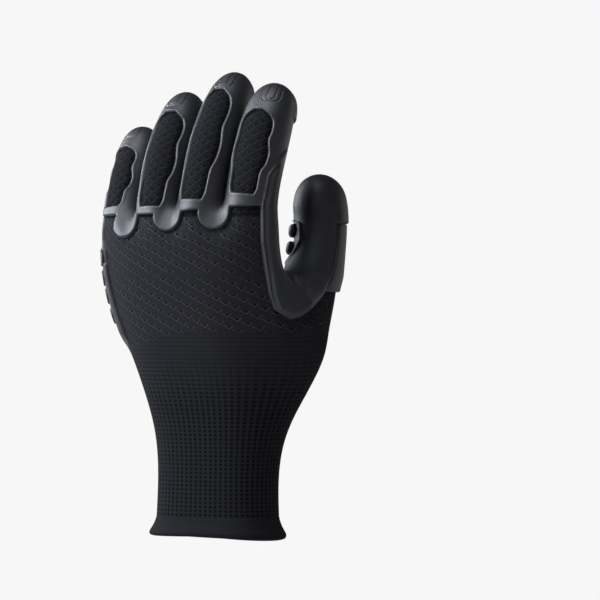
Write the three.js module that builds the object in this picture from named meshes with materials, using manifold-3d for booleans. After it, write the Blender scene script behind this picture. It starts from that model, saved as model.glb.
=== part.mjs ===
// A left-hand work glove that damps impact and vibration, shown as a hand fills it: a knitted liner with an
// elastic hem, a moulded rubber coat over the palm, the fingers and the thumb, a raised guard between index
// finger and thumb, and ribs and pads on the palm side. Millimetres. The origin is the middle of the wrist
// opening, +Z runs to the fingertips, +X is the thumb's side, and the back of the hand looks along -Y.
import * as THREE from 'three';
import { mergeVertices } from 'three/addons/utils/BufferGeometryUtils.js';
import Module from 'manifold-3d';

const wasm = await Module();
wasm.setup();

// Driving dimensions
const HEM_HEIGHT = 9;
const KNIT_WALL = 1.8;
const COAT = 2;
const GAP = 0.3;
const RIB_HEIGHT = 2;
const CAP_WALL = 1.7;
const PANEL_WALL = 1;
const TIP_PAD_HEIGHT = 1.4;
const PAD_LIFT = 0.3; // the ribs and pads stand this much more than a gap above the coat
const GUARD_EDGE = 2;
const GUARD_CROWN = 2.2; // how far the middle of the guard stands above its edges
const GUARD_SLOPE = 5; // how far in from its edges it reaches that
const ROUND_SWELL = 1.1; // smoothing draws an eight-sided ring in by about this much

// The hand from the wrist to the finger webs, one row for each section: its height, the middle, half its
// width from thumb side to little finger side, half its depth from back to palm, how far its edges droop
// palmwards and how far the ball of the thumb swells out of it.
const HAND_SECTIONS = [
  { z: HEM_HEIGHT + GAP, x: -0.2, y: 0, halfWidth: 36.2, halfDepth: 22.5, droop: 0, ball: 0 },
  { z: 32, x: 0, y: 0, halfWidth: 34.9, halfDepth: 22, droop: 0, ball: 0 },
  { z: 56, x: 0, y: 0, halfWidth: 36, halfDepth: 22, droop: 0, ball: 2.5 },
  { z: 78, x: -1.5, y: -2, halfWidth: 41.2, halfDepth: 23, droop: 1, ball: 12.5 },
  { z: 100, x: -3.5, y: -8, halfWidth: 46.2, halfDepth: 22, droop: 3, ball: 24.5 },
  { z: 122, x: -9.3, y: -14, halfWidth: 49.6, halfDepth: 19, droop: 6, ball: 23.5 },
  { z: 145, x: -11, y: -19, halfWidth: 52.8, halfDepth: 16, droop: 8, ball: 2 },
  { z: 160, x: -10.8, y: -21, halfWidth: 53.2, halfDepth: 14, droop: 8.5, ball: 0 },
  { z: 171, x: -10.1, y: -22, halfWidth: 53.4, halfDepth: 13, droop: 8, ball: 0 },
];
const CUFF_ROWS = 3; // the liner's cuff is a piece of its own up to here
const BALL_WAY = { x: 0.86, y: 0.5 }; // the way the ball of the thumb swells
const BALL_SHARE = { 7: 0.1, 8: 0.5, 9: 1, 10: 1, 11: 0.75, 12: 0.4, 13: 0.12 }; // by point of a section
const SIDE = 0.93; // how far out the corners of a section stand, as a share of its half width
const SQUARENESS = 2.6; // 2 is an ellipse

// The webs between the fingers: the back dips lower than the palm side, and they lie a little to the little
// finger's side.
const WEB = { back: 160, middle: 169, palm: 174, valley: 3.5 };
const WEB_SHIFTS = [
  { point: 2, shift: -4 },
  { point: 4, shift: -3 },
  { point: 6, shift: -1.2 },
];

// Each finger: the middle of its base, length from the web, half width and half depth of the knitted finger,
// its lean to the thumb's side and how far each bone is bent from upright, in degrees; how far its bare back
// is turned to the little finger's side, and from which to which share of its length that runs; its ribs, and
// how far they are turned to the little finger's side.
const FINGERS = [
  { name: 'little', x: -53, y: -13.5, z: 170, length: 60, halfWidth: 10.7, halfDepth: 10.2, lean: 0.8,
    bend: [20, 30, 34], turn: 25, bareFrom: 0.14, bareTo: 0.76, ribs: 4, ribTurn: 0 },
  { name: 'ring', x: -26.4, y: -22.5, z: 172, length: 79, halfWidth: 11.4, halfDepth: 10.8, lean: 2.25,
    bend: [16, 32, 38], turn: 4, bareFrom: 0.09, bareTo: 0.8, ribs: 5, ribTurn: 0 },
  { name: 'middle', x: 0, y: -23, z: 173, length: 89.5, halfWidth: 11.8, halfDepth: 11.2, lean: 3.7,
    bend: [15, 30, 40], turn: 8, bareFrom: 0.11, bareTo: 0.83, ribs: 5, ribTurn: 0 },
  { name: 'index', x: 28.1, y: -18, z: 172, length: 78.2, halfWidth: 13.1, halfDepth: 11, lean: 5.65,
    bend: [7, 20, 30], turn: 3, bareFrom: 0.19, bareTo: 0.79, ribs: 5, ribTurn: 12 },
];
const BONES = [0.45, 0.3, 0.25]; // shares of a finger's length
const FINGER_STATIONS = [
  { at: 0.16, size: 0.91 },
  { at: 0.45, size: 1.01 },
  { at: 0.76, size: 0.97 },
  { at: 0.95, size: 0.76 },
];

// The bare back of a finger: half its turn round the finger in degrees, from its lower to its upper end.
const BARE_OUTLINE = [
  { at: 0, turn: 33 },
  { at: 0.04, turn: 40 },
  { at: 0.28, turn: 42 },
  { at: 0.38, turn: 54 },
  { at: 0.5, turn: 57 },
  { at: 0.65, turn: 47 },
  { at: 0.78, turn: 51 },
  { at: 0.88, turn: 49 },
  { at: 0.95, turn: 38 },
  { at: 1, turn: 22 },
];

// The thumb: the middle, half width and half depth of each section, from the base at the side of the palm.
const THUMB_ROWS = [4, 5, 6]; // the hand sections that it grows from
const THUMB_COLUMN = 9;
const THUMB_ROOT = { x: 32, y: 6, z: 106 };
const THUMB_STATIONS = [
  { x: 41.5, y: 19, z: 122, halfWidth: 18, halfDepth: 18 },
  { x: 43, y: 29, z: 139, halfWidth: 15.2, halfDepth: 14.7 },
  { x: 42.6, y: 37, z: 156, halfWidth: 12.6, halfDepth: 12.4 },
  { x: 42.1, y: 41.3, z: 174, halfWidth: 12.9, halfDepth: 12.5 },
  { x: 41.2, y: 42.2, z: 191.5, halfWidth: 10.8, halfDepth: 10.6 },
];
const THUMB_TIP = { x: 40.6, y: 42.2, z: 198.5 };
// How far the web between index finger and thumb draws points of the thumb's first ring out.
const THUMB_WEB = [
  { point: 6, draw: new THREE.Vector3(8, -6, 11) },
  { point: 7, draw: new THREE.Vector3(4, -8.5, 4.5) },
];
const THUMB_PAD_SIDE = new THREE.Vector3(-0.93, -0.36, 0); // the way the pad of the thumb faces
const THUMB_COAT_FROM = 137;
const THUMB_CAP_FROM = 172;
const THUMB_REACH = 21; // what is nearer than this to the thumb's middle line belongs to it

// The lower edge of the rubber on the back: a line over the knuckles, with a round lobe under each web.
const KNUCKLE_LINE = [
  { x: -65, z: 176 },
  { x: -15, z: 176.5 },
  { x: 5, z: 179 },
  { x: 45, z: 181.5 },
];
const LOBES = [
  { x: -42.5, bottom: 163.8, radius: 7.8 },
  { x: -14.4, bottom: 167, radius: 8.6 },
  { x: 13.2, bottom: 168, radius: 9.2 },
];

// The edge of the rubber on the palm, on a plane turned a little to the thumb: across it and up.
const PALM_TURN = 15;
const PALM_EDGE = [
  { across: -62, z: 112 },
  { across: -50, z: 100 },
  { across: -38, z: 88 },
  { across: -20, z: 82 },
  { across: -2, z: 78.5 },
  { across: 10, z: 80 },
  { across: 18, z: 85 },
  { across: 25, z: 96 },
  { across: 28.5, z: 114 },
  { across: 29, z: 134.5 },
  { across: 70, z: 134.5 },
];
const PALM_WRAP = 0.3; // how far the rubber reaches round to the back, as a share of straight back

// The guard between index finger and thumb, on a plane turned to the thumb's side of the back. Its edge
// towards the back comes down from the index finger, and its lower end is round.
const GUARD_TURN = 27;
const GUARD_BACK_EDGE = [
  { z: 119, across: 40 },
  { z: 124.6, across: 31 },
  { z: 132.6, across: 28 },
  { z: 150, across: 25 },
  { z: 162, across: 23.5 },
  { z: 181.6, across: 24 },
  { z: 197.6, across: 28.6 },
  { z: 213.3, across: 38.5 },
];
const GUARD_LOWER_EDGE = [
  { across: 25, z: 140 },
  { across: 28, z: 131 },
  { across: 31, z: 124.6 },
  { across: 35, z: 121 },
  { across: 40.7, z: 119.5 },
  { across: 45, z: 120.8 },
  { across: 49.5, z: 123.8 },
  { across: 55.6, z: 130.6 },
  { across: 60, z: 139 },
];

// The pads on the palm, on the palm's plane: the middle, half length, half width and tilt in degrees, and how
// much further they run round the little finger's side.
const BAR_HALF = 4.3;
const SIDE_WRAP = 33;
const PALM_PADS = [
  { across: -18.5, z: 162.5, half: 24, width: BAR_HALF, tilt: -2 },
  { across: 13, z: 161.5, half: 5.2, width: 4, tilt: 0 },
  { across: -22.5, z: 152, half: 25, width: BAR_HALF, tilt: -1, wrap: SIDE_WRAP },
  { across: 12, z: 151.5, half: 8, width: BAR_HALF, tilt: -8 },
  { across: -30.5, z: 140.5, half: 18, width: BAR_HALF, tilt: -3, wrap: SIDE_WRAP },
  { across: 2, z: 138.5, half: 12, width: BAR_HALF, tilt: -6 },
  { across: -37, z: 130, half: 10.5, width: BAR_HALF, tilt: -5, wrap: SIDE_WRAP },
  { across: -5.5, z: 126.5, half: 16.5, width: BAR_HALF, tilt: -8 },
  { across: -37.5, z: 119, half: 8.5, width: BAR_HALF, tilt: -6, wrap: SIDE_WRAP },
  { across: -11.5, z: 115, half: 13.5, width: BAR_HALF, tilt: -8 },
  { across: -18.8, z: 102.5, half: 13.2, width: BAR_HALF, tilt: -8 },
  { across: -25, z: 92.5, half: 12, width: BAR_HALF, tilt: -5 },
];
const THENAR_PADS = [
  { across: 20.5, z: 164.5, half: 4.4, width: 3.9, tilt: 0 },
  { across: 20.5, z: 153.5, half: 4.6, width: 4, tilt: 0 },
  { across: 18, z: 143, half: 4.8, width: 4, tilt: 0 },
  { across: 19, z: 133, half: 5.5, width: 4.2, tilt: -4 },
  { across: 20, z: 123, half: 6.5, width: 4.2, tilt: -8 },
  { across: 18, z: 112.5, half: 7.8, width: 4.2, tilt: -18 },
  { across: 13, z: 103.5, half: 9, width: 4.3, tilt: -32 },
  { across: 5, z: 95.5, half: 9.5, width: 4.3, tilt: -42 },
  { across: -3.5, z: 89.5, half: 7.5, width: 4, tilt: -50 },
];
const WEB_PADS = [
  { across: -16, z: 171, half: 6, width: 3.7, tilt: 0 },
  { across: 7.5, z: 173.5, half: 7.5, width: 3.9, tilt: 0 },
];

const rad = THREE.MathUtils.degToRad;
const BACK_POINTS = 9; // points across the back of a section, and as many across the palm
const RING = 2 * BACK_POINTS + 2;
const palmPoint = (k) => RING - 2 - k; // the palm point opposite point k of the back

// One section of the hand as 20 points, from the little finger's side over the back to the thumb's side and
// back along the palm.
function handRing({ z, x, y, halfWidth, halfDepth, droop, ball }) {
  const points = [];
  const put = (u, side) => {
    const swell = (1 - Math.abs(u) ** SQUARENESS) ** (1 / SQUARENESS);
    points.push(new THREE.Vector3(x + u * halfWidth, y + side * halfDepth * swell + droop * u * u, z));
  };
  const across = (k) => SIDE * (-1 + (2 * k) / (BACK_POINTS - 1));
  for (let k = 0; k < BACK_POINTS; k++) put(across(k), -1);
  put(1, 0);
  for (let k = BACK_POINTS - 1; k >= 0; k--) put(across(k), 1);
  put(-1, 0);
  for (const [i, share] of Object.entries(BALL_SHARE)) {
    points[i].x += BALL_WAY.x * share * ball;
    points[i].y += BALL_WAY.y * share * ball;
  }
  return points;
}

// A finger's own axes at a share of its length: its middle, the way it points, its thumb side and its back.
function fingerFrame(finger, share) {
  const side = new THREE.Vector3(1, 0, 0);
  const back = new THREE.Vector3(0, -1, 0);
  const up = new THREE.Vector3(0, 0, 1);
  for (const axis of [side, up]) axis.applyAxisAngle(back, -rad(finger.lean));
  const middle = new THREE.Vector3(finger.x, finger.y, finger.z);
  const steps = 24;
  const turned = { up: up.clone(), back: back.clone() };
  for (let i = 0; i < steps; i++) {
    const here = (share * (i + 0.5)) / steps;
    const angle = -rad(bendAt(finger, here));
    turned.up.copy(up).applyAxisAngle(side, angle);
    middle.addScaledVector(turned.up, (finger.length * share) / steps);
  }
  const angle = -rad(bendAt(finger, share));
  turned.up.copy(up).applyAxisAngle(side, angle);
  turned.back.copy(back).applyAxisAngle(side, angle);
  return { middle, up: turned.up, back: turned.back, side };
}

// The bend of a finger from upright, easing from bone to bone.
function bendAt(finger, share) {
  const [first, second, third] = finger.bend;
  const knuckle = (at) => THREE.MathUtils.smoothstep(share, at - 0.14, at + 0.14);
  return first + (second - first) * knuckle(BONES[0]) + (third - second) * knuckle(BONES[0] + BONES[1]);
}

// Eight points round a middle, counted like a finger's base ring: first the back corner on the little
// finger's side.
function roundRing(middle, side, back, halfWidth, halfDepth) {
  return [135, 90, 45, 0, -45, -90, -135, 180].map((degrees) =>
    middle.clone()
      .addScaledVector(side, halfWidth * ROUND_SWELL * Math.cos(rad(degrees)))
      .addScaledVector(back, halfDepth * ROUND_SWELL * Math.sin(rad(degrees))));
}

// The coarse cage of the whole hand: points, four-sided faces and the part that each face belongs to.
function handCage() {
  const points = [];
  const faces = [];
  const parts = [];
  const add = (list) => list.map((p) => points.push(p) - 1);
  const quad = (part, ...corners) => {
    faces.push(corners);
    parts.push(part);
  };
  const tube = (part, low, high) => {
    for (let i = 0; i < low.length; i++) {
      const j = (i + 1) % low.length;
      quad(part, low[i], low[j], high[j], high[i]);
    }
  };
  const cap = (part, ring, tip) => {
    const [centre] = add([tip]);
    for (let i = 0; i < ring.length; i += 2) {
      quad(part, ring[i], ring[i + 1], ring[(i + 2) % ring.length], centre);
    }
  };

  const rings = HAND_SECTIONS.map((section) => add(handRing(section)));
  const top = rings.at(-1);
  for (const { point, shift } of WEB_SHIFTS) {
    points[top[point]].add(new THREE.Vector3(shift, WEB.valley, 0)).setZ(WEB.back);
    points[top[palmPoint(point)]].add(new THREE.Vector3(shift, -WEB.valley, 0)).setZ(WEB.palm);
  }
  for (let row = 0; row + 1 < rings.length; row++) {
    for (let i = 0; i < RING; i++) {
      const j = (i + 1) % RING;
      const thumbRow = row >= THUMB_ROWS[0] && row < THUMB_ROWS[2];
      const inThumb = thumbRow && i >= THUMB_COLUMN && i < THUMB_COLUMN + 2;
      const part = row < CUFF_ROWS ? 'cuff' : 'hand';
      if (!inThumb) quad(part, rings[row][i], rings[row][j], rings[row + 1][j], rings[row + 1][i]);
    }
  }

  const webs = WEB_SHIFTS.map(({ point }) => {
    const middle = points[top[point]].clone().lerp(points[top[palmPoint(point)]], 0.5);
    middle.z = WEB.middle;
    return add([middle])[0];
  });
  const between = [top[RING - 1], ...webs, top[BACK_POINTS]];
  FINGERS.forEach((finger, i) => {
    const k = 2 * i;
    let low = [top[k], top[k + 1], top[k + 2], between[i + 1],
      top[palmPoint(k + 2)], top[palmPoint(k + 1)], top[palmPoint(k)], between[i]];
    for (const { at, size } of FINGER_STATIONS) {
      const { middle, side, back } = fingerFrame(finger, at);
      const high = add(roundRing(middle, side, back, finger.halfWidth * size, finger.halfDepth * size));
      tube(finger.name, low, high);
      low = high;
    }
    cap(finger.name, low, fingerFrame(finger, 1).middle);
  });

  const [r0, r1, r2] = THUMB_ROWS.map((row) => rings[row]);
  const c = THUMB_COLUMN;
  let low = [r0[c], r0[c + 1], r0[c + 2], r1[c + 2], r2[c + 2], r2[c + 1], r2[c], r1[c]];
  THUMB_STATIONS.forEach((_, i) => {
    const high = add(thumbRing(i));
    tube('thumb', low, high);
    low = high;
  });
  cap('thumb', low, thumbLine.at(-1).clone());
  const bare = [r1[c + 1]];
  return withoutPoints({ points, faces, parts }, bare);
}

const thumbLine = [THUMB_ROOT, ...THUMB_STATIONS, THUMB_TIP].map(({ x, y, z }) => new THREE.Vector3(x, y, z));

// A ring of the thumb square to its middle line, turned so that its pad side faces THUMB_PAD_SIDE.
function thumbRing(i) {
  const [before, here, after] = thumbLine.slice(i, i + 3);
  const up = after.clone().sub(before).normalize();
  const outward = THUMB_PAD_SIDE.clone().negate();
  outward.addScaledVector(up, -outward.dot(up)).normalize();
  const palmward = up.clone().cross(outward);
  const { halfWidth, halfDepth } = THUMB_STATIONS[i];
  const ring = [-45, 0, 45, 90, 135, 180, -135, -90].map((degrees) =>
    here.clone()
      .addScaledVector(outward, halfDepth * ROUND_SWELL * Math.cos(rad(degrees)))
      .addScaledVector(palmward, halfWidth * ROUND_SWELL * Math.sin(rad(degrees))));
  if (i === 0) for (const { point, draw } of THUMB_WEB) ring[point].add(draw);
  return ring;
}

// The same cage with some points taken out that no face uses.
function withoutPoints({ points, faces, parts }, gone) {
  const kept = points.map((_, i) => i).filter((i) => !gone.includes(i));
  const place = new Map(kept.map((old, now) => [old, now]));
  return { points: kept.map((i) => points[i]), faces: faces.map((f) => f.map((i) => place.get(i))), parts };
}

const average = (list) => list.reduce((sum, p) => sum.add(p), new THREE.Vector3()).divideScalar(list.length);
const edgeKey = (a, b) => (a < b ? `${a},${b}` : `${b},${a}`);

// One round of Catmull-Clark smoothing, which turns each face into four.
function smoothed({ points, faces, parts }) {
  const middles = faces.map((face) => average(face.map((i) => points[i])));
  const edges = new Map();
  const around = points.map(() => ({ faces: [], edges: [], rim: [] }));
  faces.forEach((face, f) => face.forEach((a, i) => {
    const b = face[(i + 1) % face.length];
    const key = edgeKey(a, b);
    if (!edges.has(key)) edges.set(key, { ends: [a, b], faces: [] });
    edges.get(key).faces.push(f);
    around[a].faces.push(f);
  }));
  const fresh = [];
  for (const edge of edges.values()) {
    const [a, b] = edge.ends;
    const middle = points[a].clone().lerp(points[b], 0.5);
    const rim = edge.faces.length === 1;
    for (const [end, other] of [[a, b], [b, a]]) {
      around[end].edges.push(middle);
      if (rim) around[end].rim.push(points[other]);
    }
    edge.point = rim ? middle : average([points[a], points[b], ...edge.faces.map((f) => middles[f])]);
  }
  points.forEach((p, i) => {
    const { faces: near, edges: spokes, rim } = around[i];
    if (rim.length) {
      fresh.push(p.clone().multiplyScalar(6).add(rim[0]).add(rim[1]).divideScalar(8));
      return;
    }
    const n = near.length;
    fresh.push(average(near.map((f) => middles[f])).addScaledVector(average(spokes), 2)
      .addScaledVector(p, n - 3).divideScalar(n));
  });
  for (const edge of edges.values()) edge.at = fresh.push(edge.point) - 1;
  const centre = middles.map((p) => fresh.push(p) - 1);
  const split = [];
  const owner = [];
  faces.forEach((face, f) => face.forEach((a, i) => {
    const next = edges.get(edgeKey(a, face[(i + 1) % face.length])).at;
    const last = edges.get(edgeKey(a, face[(i + face.length - 1) % face.length])).at;
    split.push([a, next, centre[f], last]);
    owner.push(parts[f]);
  }));
  const halfway = (a, b) => edges.get(edgeKey(a, b)).at;
  return { points: fresh, faces: split, parts: owner, halfway };
}

// Normals at the points of a surface of four-sided faces.
function normalsOf({ points, faces }) {
  const normals = points.map(() => new THREE.Vector3());
  for (const [a, b, c, d] of faces) {
    const across = points[c].clone().sub(points[a]).cross(points[d].clone().sub(points[b]));
    for (const i of [a, b, c, d]) normals[i].add(across);
  }
  return normals.map((n) => n.normalize());
}

// A site is a place on the knit and the way straight out of it.
const siteAt = (place, out) => ({ place, out });
const raised = ({ place, out }, height) => place.clone().addScaledVector(out, height);
const between = (a, b, t) => siteAt(a.place.clone().lerp(b.place, t), a.out.clone().lerp(b.out, t));

const cage = handCage();
const form = smoothed(cage);
const normals = normalsOf(form);
const sites = form.points.map((place, i) => siteAt(place, normals[i]));
const halves = ([a, b, c, d]) => [[a, b, c], [a, c, d]];
const facets = form.faces.flatMap(halves);

// A value read from a short table, with straight lines between its rows.
function fromTable(rows, from, to, at) {
  const next = rows.findIndex((row) => row[from] > at);
  if (next === 0) return rows[0][to];
  if (next < 0) return rows.at(-1)[to];
  const [low, high] = [rows[next - 1], rows[next]];
  return THREE.MathUtils.mapLinear(at, low[from], high[from], low[to], high[to]);
}

// Where a place lies on its nearest finger: the share of its length, and its own axes there.
const FRAME_STEPS = 40;
const fingerLines = FINGERS.map((finger) => ({
  finger,
  frames: Array.from({ length: FRAME_STEPS + 1 }, (_, i) => fingerFrame(finger, i / FRAME_STEPS)),
}));
function onFinger(place) {
  let best = { distance: Infinity };
  for (const { finger, frames } of fingerLines) {
    frames.forEach((frame, i) => {
      const distance = frame.middle.distanceTo(place);
      if (distance < best.distance) best = { distance, finger, frame, step: i / FRAME_STEPS };
    });
  }
  const from = place.clone().sub(best.frame.middle);
  const share = best.step + from.dot(best.frame.up) / best.finger.length;
  const turned = Math.atan2(from.dot(best.frame.side), from.dot(best.frame.back)) + rad(best.finger.turn);
  return { ...best, share, round: turned * best.finger.halfWidth };
}

function fromThumb(place) {
  const nearest = new THREE.Vector3();
  return Math.min(...thumbLine.slice(1).map((end, i) =>
    new THREE.Line3(thumbLine[i], end).closestPointToPoint(place, true, nearest).distanceTo(place)));
}

// Planes that the edges of the rubber are laid out on.
const PALM_ACROSS = new THREE.Vector3(Math.cos(rad(PALM_TURN)), -Math.sin(rad(PALM_TURN)), 0);
const PALM_OUT = new THREE.Vector3(Math.sin(rad(PALM_TURN)), Math.cos(rad(PALM_TURN)), 0);
const GUARD_ACROSS = new THREE.Vector3(Math.cos(rad(GUARD_TURN)), Math.sin(rad(GUARD_TURN)), 0);
const TURN_REACH = 13; // millimetres of surface for each whole turn of its outward way

// Fields over the knitted surface: millimetres inside an outline, below zero outside it.
function bareBack({ place }) {
  const { finger, share, round } = onFinger(place);
  const at = (share - finger.bareFrom) / (finger.bareTo - finger.bareFrom);
  const half = rad(fromTable(BARE_OUTLINE, 'at', 'turn', at)) * finger.halfWidth;
  return Math.min(half - Math.abs(round), (share - finger.bareFrom) * finger.length,
    (finger.bareTo - share) * finger.length);
}

function overKnuckles({ place }) {
  const { x, z } = place;
  const lobes = LOBES.map((lobe) =>
    lobe.radius - Math.hypot(x - lobe.x, Math.min(0, z - lobe.bottom - lobe.radius)));
  return Math.max(z - fromTable(KNUCKLE_LINE, 'x', 'z', x), ...lobes);
}

function onPalm({ place, out }) {
  const edge = fromTable(PALM_EDGE, 'across', 'z', place.dot(PALM_ACROSS));
  return Math.min((out.y + PALM_WRAP) * TURN_REACH, place.z - edge);
}

const onThumb = ({ place }) => Math.min(place.z - THUMB_COAT_FROM, THUMB_REACH - fromThumb(place));

function onGuard({ place, out }) {
  const across = place.dot(GUARD_ACROSS);
  const fromBack = across - fromTable(GUARD_BACK_EDGE, 'z', 'across', place.z);
  const fromBelow = place.z - fromTable(GUARD_LOWER_EDGE, 'across', 'z', across);
  const offThumb = Math.max(THUMB_COAT_FROM - GAP - place.z, fromThumb(place) - THUMB_REACH);
  return Math.min(fromBack, fromBelow, offThumb, -out.dot(PALM_OUT) * TURN_REACH);
}

function onCoat(site) {
  const covered = Math.max(overKnuckles(site), onPalm(site), onThumb(site));
  return Math.min(covered, -bareBack(site), -onGuard(site) - GAP);
}

const onThumbCap = (site) => Math.min(site.place.z - THUMB_CAP_FROM, THUMB_REACH - fromThumb(site.place));

const PANEL = { bottom: 135.5, top: THUMB_CAP_FROM - GAP, across: 26 };
function onThumbPanel({ place, out }) {
  return Math.min(place.z - PANEL.bottom, PANEL.top - place.z, place.dot(PALM_ACROSS) - PANEL.across,
    out.dot(PALM_OUT) * TURN_REACH, THUMB_REACH - fromThumb(place));
}

const TIP_PAD_FROM = 0.78; // share of the finger's length
const onTipPad = (name) => ({ place, out }) => {
  const { finger, frame, share } = onFinger(place);
  if (finger.name !== name) return -1;
  return Math.min((share - TIP_PAD_FROM) * finger.length, -out.dot(frame.back) * TURN_REACH);
};

// The facets of the knitted surface where a field is above zero, cut along its edge. A corner nearer to the
// edge than SNAP is taken to lie on it, but not where the patch would then hang together in that corner only.
const SNAP = 0.5;
const CUT_STEPS = 14;
function patchWhere(field, pinched = new Set()) {
  const values = sites.map((site) => {
    const value = field(site);
    return Math.abs(value) < SNAP && !pinched.has(site) ? 0 : value;
  });
  const cuts = new Map();
  const cutBetween = (i, j) => {
    const key = edgeKey(i, j);
    if (cuts.has(key)) return cuts.get(key);
    let [outside, inside] = values[i] < 0 ? [sites[i], sites[j]] : [sites[j], sites[i]];
    const [start, end] = [outside, inside];
    let [low, high] = [0, 1];
    for (let step = 0; step < CUT_STEPS; step++) {
      const t = (low + high) / 2;
      if (field(between(start, end, t)) < 0) low = t;
      else high = t;
    }
    cuts.set(key, between(start, end, high));
    return cuts.get(key);
  };
  const triangles = [];
  for (const corners of facets) {
    if (!corners.some((i) => values[i] > 0)) continue;
    const kept = [];
    corners.forEach((i, turn) => {
      const j = corners[(turn + 1) % corners.length];
      if (values[i] >= 0) kept.push(sites[i]);
      if (values[i] * values[j] < 0) kept.push(cutBetween(i, j));
    });
    for (let i = 1; i + 1 < kept.length; i++) triangles.push([kept[0], kept[i], kept[i + 1]]);
  }
  const starts = rimOf(triangles).map(([start]) => start);
  const twice = starts.filter((site, i) => starts.indexOf(site) !== i && !pinched.has(site));
  return twice.length ? patchWhere(field, new Set([...pinched, ...twice])) : triangles;
}

// Edges that only one of the triangles or quads has, in their own direction.
function rimOf(faces) {
  const pairs = faces.flatMap((face) => face.map((a, i) => [a, face[(i + 1) % face.length]]));
  const ends = new Map();
  for (const [a, b] of pairs) {
    if (!ends.has(a)) ends.set(a, new Set());
    ends.get(a).add(b);
  }
  return pairs.filter(([a, b]) => !(ends.get(b) && ends.get(b).has(a)));
}

// A closed solid from triangles of points.
const MERGE = 1e-4;
function solidOf(triangles) {
  const geometry = new THREE.BufferGeometry();
  const positions = triangles.flatMap((corners) => corners.flatMap((p) => p.toArray()));
  geometry.setAttribute('position', new THREE.Float32BufferAttribute(positions, 3));
  const merged = mergeVertices(geometry, MERGE);
  return new wasm.Manifold(new wasm.Mesh({
    numProp: 3,
    vertProperties: new Float32Array(merged.attributes.position.array),
    triVerts: new Uint32Array(merged.index.array),
  }));
}

function geometryOf(solid) {
  const { vertProperties, triVerts } = solid.getMesh();
  const geometry = new THREE.BufferGeometry();
  geometry.setAttribute('position', new THREE.BufferAttribute(Float32Array.from(vertProperties), 3));
  geometry.setIndex(new THREE.BufferAttribute(Uint32Array.from(triVerts), 1));
  return geometry;
}

// A layer over a patch, from a low height above the knit to a high one, which may change from place to place.
function layer(patch, low, high) {
  const highAt = (site) => raised(site, typeof high === 'function' ? high(site) : high);
  const walls = rimOf(patch).flatMap(([a, b]) => [
    [highAt(a), raised(a, low), raised(b, low)],
    [highAt(a), raised(b, low), highAt(b)],
  ]);
  const top = patch.map((corners) => corners.map(highAt));
  const bottom = patch.map(([a, b, c]) => [raised(a, low), raised(c, low), raised(b, low)]);
  const pieces = solidOf([...top, ...bottom, ...walls]).decompose();
  return pieces.sort((a, b) => b.volume() - a.volume())[0];
}

// How thick the knit is at a place: more where two fingers meet, as the flat facets inside would else come
// through the hollow outside.
const WEB_WALL = 2.9;
const WEB_TOP = 190;
const SIDEWAYS = 0.3;
function wallAt({ place, out }) {
  const between = place.x > FINGERS[0].x && place.x < FINGERS.at(-1).x;
  const above = place.z > WEB.back && place.z < WEB_TOP;
  return between && above && Math.abs(out.x) > SIDEWAYS ? WEB_WALL : KNIT_WALL;
}

// One knitted part of the liner: the smoothed surface outside, the coarser cage set in by the wall inside.
// Where it meets the next part, both are drawn in by half the gap.
function linerPart(part) {
  const own = ({ faces, parts }) => faces.filter((_, i) => parts[i] === part);
  const outer = own(form);
  const inner = own(cage);
  const wrist = (i) => form.points[i].z < HAND_SECTIONS[0].z + GAP;
  const rim = new Set(rimOf(outer).flat().filter((i) => !wrist(i)));
  const drawnIn = new Map();
  for (const i of rim) {
    const near = new Set(outer.filter((face) => face.includes(i)).flat().filter((j) => !rim.has(j)));
    const goal = average([...near].map((j) => form.points[j]));
    const share = GAP / 2 / goal.distanceTo(form.points[i]);
    drawnIn.set(i, siteAt(form.points[i].clone().lerp(goal, share * SEAM_SLANT), normals[i]));
  }
  const at = (i, height) => raised(drawnIn.get(i) ?? sites[i], height);
  const triangles = outer.flatMap(halves).map((corners) => corners.map((i) => at(i, 0)));
  const inside = (i) => at(i, -wallAt(sites[i]));
  for (const [a, b, c] of inner.flatMap(halves)) triangles.push([a, c, b].map(inside));
  for (const [a, b] of rimOf(inner)) {
    const middle = at(form.halfway(a, b), 0);
    const [low, high] = [inside(a), inside(b)];
    triangles.push([middle, at(a, 0), low], [at(b, 0), middle, high], [middle, low, high]);
  }
  return solidOf(triangles);
}
const SEAM_SLANT = 1.6; // the way in runs aslant to the seam

// The rolled elastic hem: its profile, set out from the knit at the wrist.
const HEM_PROFILE = [
  { z: 0, out: 2.4 },
  { z: 4.6, out: 3.8 },
  { z: HEM_HEIGHT, out: 1 },
  { z: HEM_HEIGHT, out: -KNIT_WALL },
  { z: 0, out: -0.4 },
];
function cuffHem() {
  const ring = Array.from({ length: RING }, (_, i) => {
    const out = new THREE.Vector3(normals[i].x, normals[i].y, 0).normalize();
    return HEM_PROFILE.map((row) => form.points[i].clone().addScaledVector(out, row.out).setZ(row.z));
  });
  const triangles = ring.flatMap((here, i) => {
    const there = ring[(i + 1) % ring.length];
    return here.flatMap((low, k) => {
      const next = (k + 1) % here.length;
      return [[low, there[k], there[next]], [low, there[next], here[next]]];
    });
  });
  return solidOf(triangles);
}

// The outer surface of the coat as if it covered all of the hand, which the ribs and pads are laid on.
const coatedGeometry = new THREE.BufferGeometry();
coatedGeometry.setAttribute('position', new THREE.Float32BufferAttribute(
  facets.flatMap((corners) => corners.flatMap((i) => raised(sites[i], GAP + COAT).toArray())), 3));
const coated = new THREE.Mesh(coatedGeometry);
const ray = new THREE.Raycaster();

function onCoated(from, way) {
  ray.set(from, way);
  const [hit] = ray.intersectObject(coated);
  return siteAt(hit.point, hit.face.normal.clone());
}

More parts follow.
